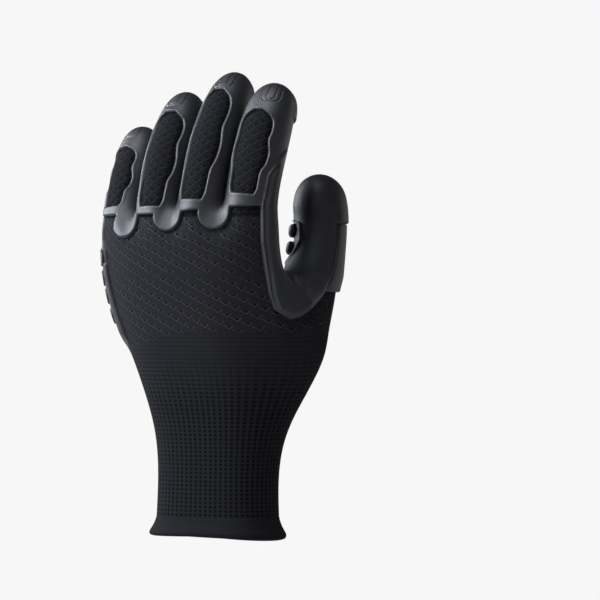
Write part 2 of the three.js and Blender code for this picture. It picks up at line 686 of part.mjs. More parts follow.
// A raised pad with round ends: the surface is met by rays along its two long sides, and the pad stands on
// that, lifted so that its straight lines clear the surface where it bulges between them.
const PAD_ENDS = [
  { in: 0, share: 0.5, end: 1 },
  { in: 0.75, share: 1, end: 0 },
];
const END_HEIGHT = 0.6; // of the full height
const PAD_BEVEL = 0.8;
const PAD_STEP = 6.5;
function padStations(half, width) {
  const end = PAD_ENDS.map((row) => ({ ...row, along: half - row.in * width }));
  const inner = end.at(-1).along;
  const steps = Math.max(2, Math.round((2 * inner) / PAD_STEP));
  const middle = Array.from({ length: steps - 1 }, (_, i) => ({
    along: inner - (2 * inner * (i + 1)) / steps, share: 1, end: 0,
  }));
  const far = end.map((row) => ({ ...row, along: -row.along, end: -row.end })).reverse();
  return [...end, ...middle, ...far];
}

function laidPad(stations, width, rayAt) {
  const put = (u, v, height) => raised(onCoated(...rayAt(u, v)), height);
  const bulges = stations.slice(1).map((next, i) => {
    const last = stations[i];
    const corners = [last, next].flatMap(({ along, share }) =>
      [-1, 1].map((side) => put(along, side * width * share, 0)));
    const { place, out } = onCoated(...rayAt((last.along + next.along) / 2, 0));
    return place.sub(average(corners)).dot(out);
  });
  const lift = GAP + Math.max(PAD_LIFT, ...bulges);
  const rows = stations.map(({ along, share, end, rise = 1 }) => {
    const root = [-1, 1].map((side) => put(along, side * width * share, lift));
    const narrow = Math.max(width * share - PAD_BEVEL, PAD_BEVEL);
    const height = lift + RIB_HEIGHT * rise * (end ? END_HEIGHT : 1) - PAD_LIFT;
    const top = [-1, 1].map((side) => put(along - end * PAD_BEVEL, side * narrow, height));
    return { top, root };
  });
  const triangles = [];
  const quad = (a, b, c, d) => triangles.push([a, b, c], [a, c, d]);
  rows.slice(1).forEach((next, i) => {
    const here = rows[i];
    quad(here.top[0], here.top[1], next.top[1], next.top[0]);
    quad(here.root[1], here.root[0], next.root[0], next.root[1]);
    quad(here.root[0], here.top[0], next.top[0], next.root[0]);
    quad(here.top[1], here.root[1], next.root[1], next.top[1]);
  });
  const [first, last] = [rows[0], rows.at(-1)];
  quad(first.top[1], first.top[0], first.root[0], first.root[1]);
  quad(last.root[1], last.root[0], last.top[0], last.top[1]);
  return solidOf(triangles);
}

// A pad on the palm: its middle is met by a ray square to the palm's plane, and the rest of it is laid out
// square to the surface there, with its wrapped end round an axis below it. Pads behind the thumb have rays
// that start between the thumb and the palm.
const OUTSIDE = 120;
const BEHIND_THUMB = 22;
const PAD_RAY = 12;
const SIDE_ROUND = 15;
const SIDE_FALL = 0.5; // how much lower a pad is on its wrapped end
function palmPad({ across, z, half, width, tilt, wrap = 0 }, start) {
  const from = PALM_ACROSS.clone().multiplyScalar(across).addScaledVector(PALM_OUT, start).setZ(z);
  const middle = onCoated(from, PALM_OUT.clone().negate());
  const along = PALM_ACROSS.clone().multiplyScalar(Math.cos(rad(tilt))).setZ(Math.sin(rad(tilt)));
  along.addScaledVector(middle.out, -along.dot(middle.out)).normalize();
  const square = middle.out.clone().cross(along);
  const rayAt = (u, v) => {
    const reach = u - wrap / 2;
    const turn = Math.max(0, -half - reach) / SIDE_ROUND;
    const way = middle.out.clone().multiplyScalar(Math.cos(turn)).addScaledVector(along, -Math.sin(turn));
    const from = raised(middle, -SIDE_ROUND).addScaledVector(along, Math.max(reach, -half))
      .addScaledVector(way, SIDE_ROUND + PAD_RAY).addScaledVector(square, v);
    return [from, way.negate()];
  };
  const stations = padStations(half + wrap / 2, width).map((row) => {
    const turn = Math.max(0, -half - row.along + wrap / 2) / SIDE_ROUND;
    return { ...row, rise: 1 - SIDE_FALL * Math.min(1, turn) };
  });
  return laidPad(stations, width, rayAt);
}

// A rib round the palm side of a finger.
const RIB_WIDTH = 3.8;
const RIB_STEP = 22.5; // degrees, the turn from facet to facet round a finger
const RIB_STEPS = [2.5, 2, 1, 0, -1, -2, -2.5];
const RIB_PITCH = 10.4;
const RIB_FROM = 0.7; // share of the length where the last rib lies
const RIB_RAY = 1.3; // a ray starts this many radii out, short of the next finger
function fingerRib(finger, i) {
  const share = RIB_FROM - ((finger.ribs - 1 - i) * RIB_PITCH) / finger.length;
  const { middle, up, back, side } = fingerFrame(finger, share);
  const radius = finger.halfDepth + GAP + COAT;
  const rayAt = (u, v) => {
    const turn = u / radius + rad(finger.ribTurn);
    const way = back.clone().multiplyScalar(-Math.cos(turn)).addScaledVector(side, -Math.sin(turn));
    return [middle.clone().addScaledVector(up, v).addScaledVector(way, RIB_RAY * radius), way.negate()];
  };
  const stations = RIB_STEPS.map((step) => {
    const last = Math.abs(step) === RIB_STEPS[0];
    const along = rad(RIB_STEP) * step * radius;
    return last ? { along, share: PAD_ENDS[0].share, end: Math.sign(step) } : { along, share: 1, end: 0 };
  });
  return laidPad(stations, RIB_WIDTH, rayAt);
}

const THUMB_RIBS = [158.7, 168.3]; // heights
const THUMB_RIB_HALF = 6.5;
function thumbRib(z) {
  const [x, y] = ['x', 'y'].map((axis) => fromTable(THUMB_STATIONS, 'z', axis, z));
  const middle = new THREE.Vector3(x, y, z);
  const across = new THREE.Vector3(-THUMB_PAD_SIDE.y, THUMB_PAD_SIDE.x, 0).normalize();
  const rayAt = (u, v) => [middle.clone().addScaledVector(THUMB_PAD_SIDE, 2 * RIB_PITCH)
    .addScaledVector(across, u).add(new THREE.Vector3(0, 0, v)), THUMB_PAD_SIDE.clone().normalize().negate()];
  return laidPad(padStations(THUMB_RIB_HALF, RIB_WIDTH), RIB_WIDTH, rayAt);
}

// Materials
const KNIT = { color: 0x2b2c2f, roughness: 0.95, metalness: 0 };
const RUBBER = { color: 0x3a3b3f, roughness: 0.6, metalness: 0 };

const glove = new THREE.Group();
function place(name, solid, finish) {
  const mesh = new THREE.Mesh(geometryOf(solid), new THREE.MeshStandardMaterial(finish));
  mesh.name = name;
  glove.add(mesh);
}

place('cuff_hem', cuffHem(), KNIT);
const LINER_PARTS = ['cuff', 'hand', ...FINGERS.map(({ name }) => name), 'thumb'];
for (const part of LINER_PARTS) place(`liner_${part}`, linerPart(part), KNIT);

const abovePatch = GAP + COAT + GAP;
place('rubber_coat', layer(patchWhere(onCoat), GAP, GAP + COAT), RUBBER);
const guardHeight = (site) =>
  GAP + GUARD_EDGE + GUARD_CROWN * THREE.MathUtils.smoothstep(onGuard(site), 0, GUARD_SLOPE);
place('web_guard', layer(patchWhere(onGuard), GAP, guardHeight), RUBBER);
place('thumb_cap', layer(patchWhere(onThumbCap), abovePatch, abovePatch + CAP_WALL), RUBBER);
place('thumb_panel', layer(patchWhere(onThumbPanel), abovePatch, abovePatch + PANEL_WALL), RUBBER);
for (const finger of FINGERS) {
  const tip = patchWhere(onTipPad(finger.name));
  place(`${finger.name}_tip_pad`, layer(tip, abovePatch, abovePatch + TIP_PAD_HEIGHT), RUBBER);
  for (let i = 0; i < finger.ribs; i++) place(`${finger.name}_rib_${i + 1}`, fingerRib(finger, i), RUBBER);
}
THUMB_RIBS.forEach((z, i) => place(`thumb_rib_${i + 1}`, thumbRib(z), RUBBER));
PALM_PADS.forEach((pad, i) => place(`palm_pad_${i + 1}`, palmPad(pad, BEHIND_THUMB), RUBBER));
THENAR_PADS.forEach((pad, i) => place(`thenar_pad_${i + 1}`, palmPad(pad, OUTSIDE), RUBBER));
WEB_PADS.forEach((pad, i) => place(`web_pad_${i + 1}`, palmPad(pad, BEHIND_THUMB), RUBBER));

export default glove;
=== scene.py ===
from collections import namedtuple
from math import atan2, copysign, cos, pi, radians, sin

import bmesh
import bpy
import numpy as np
from mathutils import Matrix, Vector
from mathutils.bvhtree import BVHTree
from mathutils.interpolate import poly_3d_calc


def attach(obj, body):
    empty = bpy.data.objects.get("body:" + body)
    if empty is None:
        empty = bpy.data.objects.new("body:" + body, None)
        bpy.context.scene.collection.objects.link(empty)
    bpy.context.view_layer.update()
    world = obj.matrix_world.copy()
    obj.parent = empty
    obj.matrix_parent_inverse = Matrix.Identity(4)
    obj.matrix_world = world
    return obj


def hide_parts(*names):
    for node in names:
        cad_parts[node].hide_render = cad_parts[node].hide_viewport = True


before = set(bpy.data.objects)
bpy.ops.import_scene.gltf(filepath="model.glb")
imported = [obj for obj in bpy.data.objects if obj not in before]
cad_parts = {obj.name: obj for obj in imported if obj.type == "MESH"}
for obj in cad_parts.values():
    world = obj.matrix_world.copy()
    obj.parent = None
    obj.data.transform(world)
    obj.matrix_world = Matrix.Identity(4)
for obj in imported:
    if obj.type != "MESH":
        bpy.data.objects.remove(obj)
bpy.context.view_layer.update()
bpy.ops.object.select_all(action="DESELECT")

# Tables of the glove are in millimetres and degrees. +Z runs to the fingertips, +X is the thumb's side, and
# the back of the hand looks along -Y.
MM = 0.001


def linked(name, data):
    """A new object in the scene."""
    piece = bpy.data.objects.new(name, data)
    bpy.context.scene.collection.objects.link(piece)
    return piece


# Camera: level with the middle of the glove, turned to the thumb's side of its back.
CAMERA_AZIMUTH = radians(27)
CAMERA_DISTANCE = 2.2
CAMERA_HEIGHT = 0.13
CAMERA_BESIDE = 0.0451
FRAME_WIDTH = 0.33
SENSOR_WIDTH = 36
LEVEL = radians(90)


def set_camera():
    data = bpy.data.cameras.new("camera")
    data.sensor_width = SENSOR_WIDTH
    data.lens = SENSOR_WIDTH * CAMERA_DISTANCE / FRAME_WIDTH
    camera = linked("camera", data)
    turn = Matrix.Rotation(CAMERA_AZIMUTH, 3, "Z")
    camera.location = turn @ Vector((CAMERA_BESIDE, -CAMERA_DISTANCE, CAMERA_HEIGHT))
    camera.rotation_euler = (LEVEL, 0, CAMERA_AZIMUTH)
    bpy.context.scene.camera = camera


set_camera()

# The hand
Section = namedtuple("Section", "z x y half_width half_depth droop ball")
HAND_SECTIONS = [
    Section(9.3, -0.2, 0, 36.2, 22.5, 0, 0),
    Section(32, 0, 0, 34.9, 22, 0, 0),
    Section(56, 0, 0, 36, 22, 0, 2.5),
    Section(78, -1.5, -2, 41.2, 23, 1, 12.5),
    Section(100, -3.5, -8, 46.2, 22, 3, 24.5),
    Section(122, -9.3, -14, 49.6, 19, 6, 23.5),
    Section(145, -11, -19, 52.8, 16, 8, 2),
    Section(160, -10.8, -21, 53.2, 14, 8.5, 0),
    Section(171, -10.1, -22, 53.4, 13, 8, 0),
]
BALL_WAY = (0.86, 0.5)
BALL_SHARE = {7: 0.1, 8: 0.5, 9: 1, 10: 1, 11: 0.75, 12: 0.4, 13: 0.12}
SIDE = 0.93
SQUARENESS = 2.6
BACK_POINTS = 9
RING = 2 * BACK_POINTS + 2
Web = namedtuple("Web", "back middle palm valley shifts")
WEB = Web(160, 169, 174, 3.5, {2: -4, 4: -3, 6: -1.2})
ROUND_SWELL = 1.1

Finger = namedtuple(
    "Finger", "name base length half_width half_depth lean bend turn bare ribs nail_turn rib_turn"
)
FINGERS = [
    Finger("little", (-53, -13.5, 170), 60, 10.7, 10.2, 0.8, (20, 30, 34), 25, (0.14, 0.715), 4, 24, 0),
    Finger("ring", (-26.4, -22.5, 172), 79, 11.4, 10.8, 2.25, (16, 32, 38), 4, (0.09, 0.765), 5, 14, 0),
    Finger("middle", (0, -23, 173), 89.5, 11.8, 11.2, 3.7, (15, 30, 40), 8, (0.11, 0.805), 5, 8, 0),
    Finger("index", (28.1, -18, 172), 78.2, 13.1, 11, 5.65, (7, 20, 30), 3, (0.19, 0.75), 5, -17, 12),
]
BONES = (0.45, 0.3, 0.25)
KNUCKLE_EASE = 0.14
BEND_STEPS = 24
FINGER_STATIONS = {0.16: 0.91, 0.45: 1.01, 0.76: 0.97, 0.95: 0.76}
TIP_REACH = 1.06  # smoothing draws the tip in by about this much
FINGER_POINTS = (135, 90, 45, 0, -45, -90, -135, 180)

# The bare back of a finger: half its turn round the finger, from its lower to its upper end.
BARE_AT = (0, 0.04, 0.28, 0.38, 0.5, 0.65, 0.78, 0.86, 0.91, 0.95, 0.98, 1)
BARE_TURN = (33, 40, 42, 54, 57, 47, 51, 50, 46, 38, 26, 8)
BARE_EASE = (-0.03, -0.015, 0, 0.015, 0.03)  # the corners of the outline are eased over these shares

Station = namedtuple("Station", "x y z half_width half_depth")
THUMB_ROOT = (32, 6, 106)
THUMB_STATIONS = [
    Station(41.5, 19, 122, 18, 18),
    Station(43, 29, 139, 15.2, 14.7),
    Station(42.6, 37, 156, 12.6, 12.4),
    Station(42.1, 41.3, 174, 12.9, 12.5),
    Station(41.2, 42.2, 191.5, 10.8, 10.6),
]
THUMB_TIP = (40.6, 42.2, 201)
THUMB_WEB = {6: (8, -6, 11), 7: (4, -8.5, 4.5)}  # how far the web draws the thumb's first ring out
THUMB_POINTS = (-45, 0, 45, 90, 135, 180, -135, -90)
THUMB_ROWS = (4, 5, 6)
THUMB_COLUMN = 9
THUMB_LINE = np.array([THUMB_ROOT, *[station[:3] for station in THUMB_STATIONS], THUMB_TIP], float)
THUMB_PAD_SIDE = Vector((-0.93, -0.36, 0)).normalized()
THUMB_REACH = 21

# Valleys that are filled to an even surface, at a coarser level of smoothing: between the guard and the
# thumb, and at the lower end of each gap between two fingers
Valley = namedtuple("Valley", "middle near far out")
VALLEYS = [
    Valley((45, 0, 139), 18, 28, (0.6, -0.55, 0.58)),
    Valley((-41, -27, 173), 6, 12, (0, -0.8, 0.6)),
    Valley((-14.4, -29, 174), 6, 12, (0, -0.8, 0.6)),
    Valley((13.2, -28, 174), 6, 12, (0, -0.8, 0.6)),
]
VALLEY_LEVELS = 2
VALLEY_ROUNDS = 250
VALLEY_EASE = 1

# Edges of the rubber
KNUCKLE_LINE = ((-65, 176), (-15, 176.5), (5, 179), (45, 181.5))
LOBES = ((-42.5, 163.8, 7.8), (-14.4, 167, 8.6), (13.2, 168, 9.2))
PALM_TURN = radians(15)
PALM_ACROSS = Vector((cos(PALM_TURN), -sin(PALM_TURN), 0))
PALM_OUT = Vector((sin(PALM_TURN), cos(PALM_TURN), 0))
PALM_EDGE = (
    (-62, 112), (-50, 100), (-38, 88), (-20, 82), (-2, 78.5), (10, 80), (18, 85), (25, 96), (28.5, 114),
    (29, 134.5), (70, 134.5),
)
PALM_WRAP = 0.3
SIDE_COAT = ((96, 0.3), (108, 0.72), (150, 0.72), (163, 0.3))  # on the little finger's side, by height
SIDE_FROM = (18, 30)
TURN_REACH = 13
THUMB_COAT_FROM = 137
THUMB_CAP_FROM = 172
GUARD_TURN = radians(27)
GUARD_ACROSS = Vector((cos(GUARD_TURN), sin(GUARD_TURN), 0))
GUARD_BACK_EDGE = (
    (119, 40), (124.6, 31), (132.6, 28), (150, 25), (162, 23.5), (181.6, 23.4), (197.6, 26.4), (213.5, 36),
    (217, 41), (221, 60),
)
GUARD_WRAP = 0.4
GUARD_LOWER_EDGE = (
    (25, 140), (28, 131), (31, 124.6), (35, 121), (40.7, 119.5), (45, 120.8), (49.5, 123.8), (55.6, 130.6),
    (60, 139),
)
RIB_BED = ((148, 38), (150, 39.8), (156.8, 44.2), (162.3, 46.8), (172.2, 46.8), (175.2, 41))
PANEL_BOTTOM = 135.5
PANEL_TOP = 171.7
PANEL_ACROSS = 26
TIP_PAD_FROM = 0.78

# Heights of the rubber above the knit
COAT_TOP = 2.3
CAP_TOP = 4.3
PANEL_HEIGHT = 3.3
TIP_PAD_TOP = 4


def radians_of(degrees):
    return [radians(angle) for angle in degrees]


def table_at(table, place):
    """What a table of places and values says at a place, with straight lines between its rows."""
    return np.interp(place, *zip(*table))


def dots(first, second):
    return np.einsum("ij,ij->i", first, second)


def smoothstep(value, low, high):
    t = np.clip((value - low) / (high - low), 0, 1)
    return t * t * (3 - 2 * t)


def bulge(value, middle, half):
    """1 at the middle, falling softly to 0 well past half a width away."""
    return np.exp(-(((value - middle) / half) ** 2))


def quarter_round(inside, radius):
    """0 at an edge, rising like a quarter of a circle to 1 at the radius."""
    short = 1 - np.clip(inside / radius, 0, 1)
    return np.sqrt(np.clip(1 - short * short, 0, 1))


# The cage of the hand
def hand_ring(section):
    across = SIDE * np.linspace(-1, 1, BACK_POINTS)
    u = np.concatenate([across, [1], across[::-1], [-1]])
    side = np.repeat([-1, 0, 1, 0], [BACK_POINTS, 1, BACK_POINTS, 1])
    swell = (1 - np.abs(u) ** SQUARENESS) ** (1 / SQUARENESS)
    x = section.x + u * section.half_width
    y = section.y + side * section.half_depth * swell + section.droop * u * u
    ring = np.column_stack([x, y, np.full(RING, float(section.z))])
    for point, share in BALL_SHARE.items():
        ring[point, :2] += np.multiply(BALL_WAY, share * section.ball)
    return ring


def palm_point(k):
    return RING - 2 - k


def bend_at(finger, share):
    first, second, third = finger.bend
    near, far = BONES[0], BONES[0] + BONES[1]
    bent = first + (second - first) * smoothstep(share, near - KNUCKLE_EASE, near + KNUCKLE_EASE)
    return bent + (third - second) * smoothstep(share, far - KNUCKLE_EASE, far + KNUCKLE_EASE)


def finger_frame(finger, share):
    """The middle of a finger at a share of its length, and the ways up, out of its back and to its side."""
    lean = Matrix.Rotation(-radians(finger.lean), 3, (0, -1, 0))
    side, upright = lean @ Vector((1, 0, 0)), lean @ Vector((0, 0, 1))
    middle = Vector(finger.base)
    for step in range(BEND_STEPS):
        bent = Matrix.Rotation(-radians(bend_at(finger, share * (step + 0.5) / BEND_STEPS)), 3, side)
        middle += (bent @ upright) * (finger.length * share / BEND_STEPS)
    bent = Matrix.Rotation(-radians(bend_at(finger, share)), 3, side)
    return middle, bent @ upright, bent @ Vector((0, -1, 0)), side


def finger_ring(finger, share, size):
    middle, _, back, side = finger_frame(finger, share)
    wide = finger.half_width * size * ROUND_SWELL
    deep = finger.half_depth * size * ROUND_SWELL
    return [middle + side * wide * cos(a) + back * deep * sin(a)
            for a in radians_of(FINGER_POINTS)]


def thumb_ring(i):
    before, here, after = (Vector(place) for place in THUMB_LINE[i:i + 3])
    up = (after - before).normalized()
    outward = -THUMB_PAD_SIDE
    outward = (outward - up * outward.dot(up)).normalized()
    palmward = up.cross(outward)
    wide, deep = (size * ROUND_SWELL for size in THUMB_STATIONS[i][3:])
    ring = [here + outward * deep * cos(a) + palmward * wide * sin(a)
            for a in radians_of(THUMB_POINTS)]
    if i == 0:
        for point, draw in THUMB_WEB.items():
            ring[point] += Vector(draw)
    return ring


# Wales are the upright rows of stitches. They are counted round the hand and round each finger.
WALES = 64
FINGER_WALES = 3  # for each eighth of a finger
THUMB_WALES = 3.5


class Cage:
    """Points, four-sided faces, and the wales and heights of each face's corners."""

    def __init__(self):
        self.points, self.faces, self.wales = [], [], []

    def add(self, points):
        first = len(self.points)
        self.points += [Vector(p) for p in points]
        return list(range(first, len(self.points)))

    def quad(self, corners, u, v):
        self.faces.append(corners)
        self.wales.append([(u[0], v[0]), (u[1], v[0]), (u[1], v[1]), (u[0], v[1])])

    def tube(self, low, high, pitch, level):
        count = len(low)
        for i in range(count):
            j = (i + 1) % count
            self.quad([low[i], low[j], high[j], high[i]], ((i - 1) * pitch, i * pitch), level)

    def cap(self, ring, tip, pitch, level):
        centre = self.add([tip])[0]
        for i in range(0, len(ring), 2):
            self.faces.append([ring[i], ring[i + 1], ring[(i + 2) % len(ring)], centre])
            around = [((i - 1 + turn) * pitch, level[0]) for turn in range(3)]
            self.wales.append([*around, (i * pitch, level[1])])


def hand_cage():
    cage = Cage()
    rings = [cage.add(hand_ring(section)) for section in HAND_SECTIONS]
    top = rings[-1]
    for k, shift in WEB.shifts.items():
        cage.points[top[k]] += Vector((shift, WEB.valley, 0))
        cage.points[top[k]].z = WEB.back
        cage.points[top[palm_point(k)]] += Vector((shift, -WEB.valley, 0))
        cage.points[top[palm_point(k)]].z = WEB.palm
    wrist = [cage.points[i] for i in (*rings[1], rings[1][0])]
    steps = [0, *np.cumsum([(b - a).length for a, b in zip(wrist, wrist[1:])])]
    around = [WALES * step / steps[-1] for step in steps]
    for row in range(len(rings) - 1):
        levels = HAND_SECTIONS[row].z, HAND_SECTIONS[row + 1].z
        for i in range(RING):
            if THUMB_ROWS[0] <= row < THUMB_ROWS[2] and THUMB_COLUMN <= i < THUMB_COLUMN + 2:
                continue
            j = (i + 1) % RING
            corners = [rings[row][i], rings[row][j], rings[row + 1][j], rings[row + 1][i]]
            cage.quad(corners, around[i:i + 2], levels)
    add_fingers(cage, top)
    add_thumb(cage, [rings[row] for row in THUMB_ROWS])
    return cage


def add_fingers(cage, top):
    webs = []
    for k in WEB.shifts:
        middle = (cage.points[top[k]] + cage.points[top[palm_point(k)]]) / 2
        middle.z = WEB.middle
        webs += cage.add([middle])
    between = [top[RING - 1], *webs, top[BACK_POINTS]]
    for number, finger in enumerate(FINGERS):
        k = 2 * number
        low = [top[k], top[k + 1], top[k + 2], between[number + 1]]
        low += [top[palm_point(k + 2)], top[palm_point(k + 1)], top[palm_point(k)], between[number]]
        level = finger.base[2]
        for share, size in FINGER_STATIONS.items():
            high = cage.add(finger_ring(finger, share, size))
            reached = finger.base[2] + share * finger.length
            cage.tube(low, high, FINGER_WALES, (level, reached))
            low, level = high, reached
        tip = finger_frame(finger, TIP_REACH)[0]
        cage.cap(low, tip, FINGER_WALES, (level, finger.base[2] + finger.length))


def add_thumb(cage, rows):
    c = THUMB_COLUMN
    low = [rows[0][c], rows[0][c + 1], rows[0][c + 2], rows[1][c + 2]]
    low += [rows[2][c + 2], rows[2][c + 1], rows[2][c], rows[1][c]]
    level = THUMB_ROOT[2]
    for i, station in enumerate(THUMB_STATIONS):
        high = cage.add(thumb_ring(i))
        cage.tube(low, high, THUMB_WALES, (level, station.z))
        low, level = high, station.z
    cage.cap(low, THUMB_TIP, THUMB_WALES, (level, THUMB_TIP[2]))


def mesh_object(name, points, faces):
    mesh = bpy.data.meshes.new(name)
    mesh.from_pydata([tuple(p) for p in points], [], [tuple(face) for face in faces])
    return linked(name, mesh)


def renumbered(faces):
    """The points that faces use, and the faces with these points' new numbers."""
    used = sorted({i for face in faces for i in face})
    place = {old: new for new, old in enumerate(used)}
    return used, [[place[i] for i in face] for face in faces]


def named(piece, name):
    piece.name = piece.data.name = name
    return piece


def face_outward(piece):
    bpy.context.view_layer.objects.active = piece
    bpy.ops.object.mode_set(mode="EDIT")
    bpy.ops.mesh.select_all(action="SELECT")
    bpy.ops.mesh.normals_make_consistent(inside=False)
    bpy.ops.mesh.select_all(action="DESELECT")
    bpy.ops.object.mode_set(mode="OBJECT")


def smooth(piece, crease=None):
    bpy.ops.object.select_all(action="DESELECT")
    piece.select_set(True)
    bpy.context.view_layer.objects.active = piece
    if crease:
        bpy.ops.object.shade_smooth_by_angle(angle=radians(crease))
    else:
        bpy.ops.object.shade_smooth()
    piece.select_set(False)
    return piece


def apply_modifier(piece, kind, **settings):
    modifier = piece.modifiers.new(kind.lower(), kind)
    for key, value in settings.items():
        setattr(modifier, key, value)
    bpy.context.view_layer.objects.active = piece
    bpy.ops.object.modifier_apply(modifier=modifier.name)


def fill_valleys(piece):
    """Draws each valley out to an even surface."""
    places = point_arrays(piece)[0]
    edges = np.array([edge.vertices[:] for edge in piece.data.edges])
    count = np.bincount(edges.ravel(), minlength=len(places))[:, None]
    nearness = np.array([
        1 - smoothstep(np.linalg.norm(places - valley.middle, axis=1), valley.near, valley.far)
        for valley in VALLEYS
    ])
    near, out = nearness.max(axis=0), np.array([valley.out for valley in VALLEYS])[nearness.argmax(axis=0)]
    even = places.copy()
    for _ in range(VALLEY_ROUNDS):
        total = np.zeros_like(places)
        for here, there in ((0, 1), (1, 0)):
            np.add.at(total, edges[:, here], even[edges[:, there]])
        even += (total / count - even) * near[:, None]
    drawn = even - places
    outward = smoothstep(dots(drawn, out), 0, VALLEY_EASE)
    piece.data.vertices.foreach_set("co", ((places + drawn * outward[:, None]) * MM).ravel())
    piece.data.update()


def hand_surface(name, levels):
    """The knitted surface of the whole glove, with its wales in a UV map."""
    cage = hand_cage()
    used, faces = renumbered(cage.faces)
    piece = mesh_object(name, [cage.points[i] * MM for i in used], faces)
    wales = piece.data.uv_layers.new(name="wales")
    for face, corners in zip(piece.data.polygons, cage.wales):
        for loop, corner in zip(face.loop_indices, corners):
            wales.data[loop].uv = corner
    apply_modifier(piece, "SUBSURF", levels=VALLEY_LEVELS, render_levels=VALLEY_LEVELS)
    fill_valleys(piece)
    rest = levels - VALLEY_LEVELS
    apply_modifier(piece, "SUBSURF", levels=rest, render_levels=rest)
    return piece


def point_arrays(piece):
    """The places in millimetres and the normals of a mesh's points."""
    mesh = piece.data
    places = np.empty(3 * len(mesh.vertices))
    mesh.vertices.foreach_get("co", places)
    normals = np.empty(3 * len(mesh.vertices))
    mesh.vertex_normals.foreach_get("vector", normals)
    return places.reshape(-1, 3) / MM, normals.reshape(-1, 3)


# Fields over the knitted surface, in millimetres inside an outline
FRAME_STEPS = 40
FINGER_FRAMES = [
    [finger_frame(finger, step / FRAME_STEPS) for step in range(FRAME_STEPS + 1)] for finger in FINGERS
]


def on_fingers(places):
    """For each place: its nearest finger's number, the share of the finger's length, the turn round it from
    straight back to the thumb's side, and the finger's way out of the back."""
    best = np.full(len(places), np.inf)
    number, share, turn = np.zeros(len(places), int), np.zeros(len(places)), np.zeros(len(places))
    backs = np.zeros_like(places)
    for i, (finger, frames) in enumerate(zip(FINGERS, FINGER_FRAMES)):
        middle, up, back, side = (np.array(column) for column in zip(*frames))
        far = np.stack([np.linalg.norm(places - m, axis=1) for m in middle])
        step = far.argmin(axis=0)
        nearer = far.min(axis=0) < best
        best = np.where(nearer, far.min(axis=0), best)
        off = places - middle[step]
        along = dots(off, up[step])
        around = np.arctan2(dots(off, side[step]), dots(off, back[step]))
        number = np.where(nearer, i, number)
        share = np.where(nearer, step / FRAME_STEPS + along / finger.length, share)
        turn = np.where(nearer, around, turn)
        backs = np.where(nearer[:, None], back[step], backs)
    return number, share, turn, backs


def by_finger(number, column):
    """What a column of the fingers' table says of each place's finger."""
    return np.array([getattr(finger, column) for finger in FINGERS], float)[number]


def bare_back(number, share, turn):
    radius = by_finger(number, "half_width")
    round_back = np.abs(turn + np.radians(by_finger(number, "turn"))) * radius
    low, high = by_finger(number, "bare").T
    length = by_finger(number, "length")
    way_up = (share - low) / (high - low)
    eased = [np.interp(way_up + step, BARE_AT, np.radians(BARE_TURN)) for step in BARE_EASE]
    half = np.mean(eased, axis=0) * radius
    return np.minimum.reduce([half - round_back, (share - low) * length, (high - share) * length])


def over_knuckles(places):
    x, z = places[:, 0], places[:, 2]
    inside = [z - table_at(KNUCKLE_LINE, x)]
    for middle, bottom, radius in LOBES:
        inside.append(radius - np.hypot(x - middle, np.minimum(0, z - bottom - radius)))
    return np.maximum.reduce(inside)


def on_palm(places, normals):
    edge = table_at(PALM_EDGE, places @ np.array(PALM_ACROSS))
    side = smoothstep(-places[:, 0], *SIDE_FROM)
    wrap = PALM_WRAP * (1 - side) + table_at(SIDE_COAT, places[:, 2]) * side
    return np.minimum((normals[:, 1] + wrap) * TURN_REACH, places[:, 2] - edge)


def from_thumb(places):
    nearest = np.full(len(places), np.inf)
    for start, end in zip(THUMB_LINE, THUMB_LINE[1:]):
        way = end - start
        t = np.clip((places - start) @ way / (way @ way), 0, 1)
        nearest = np.minimum(nearest, np.linalg.norm(places - start - t[:, None] * way, axis=1))
    return nearest


def guard_edges(places):
    """How far inside the guard's back edge and its lower edge a place lies."""
    across = places @ np.array(GUARD_ACROSS)
    from_back = across - table_at(GUARD_BACK_EDGE, places[:, 2])
    from_below = places[:, 2] - table_at(GUARD_LOWER_EDGE, across)
    return from_back, from_below


def rounded_box(across, along, half_width, half_length, radius):
    """Distance out of a box with round corners, below zero inside it."""
    out = np.stack([np.abs(across) - half_width + radius, np.abs(along) - half_length + radius])
    return np.hypot(*np.maximum(out, 0)) + np.minimum(out.max(axis=0), 0) - radius


NAIL_FROM = 0.815
Nail = namedtuple("Nail", "half_width half_length radius lift")
NAIL_OUTER = Nail(6.8, 14, 4.6, 14)
NAIL_INNER = Nail(3, 14, 2.8, 14.9)
NAIL_TURN = radians(110)  # past this turn a place is on the palm's side, far from a nail
FAR_OFF = 50.0


def nail_edges(number, share, turn):
    """Distances from the outer and the inner outline of the nail pressed into each fingertip's back."""
    radius = by_finger(number, "half_width")
    across = (turn + np.radians(by_finger(number, "nail_turn"))) * radius
    along = (share - NAIL_FROM) * by_finger(number, "length")
    behind = np.where(np.abs(turn) > NAIL_TURN, FAR_OFF, 0.0)
    return [rounded_box(across, along - nail.lift, nail.half_width, nail.half_length, nail.radius) + behind
            for nail in (NAIL_OUTER, NAIL_INNER)]


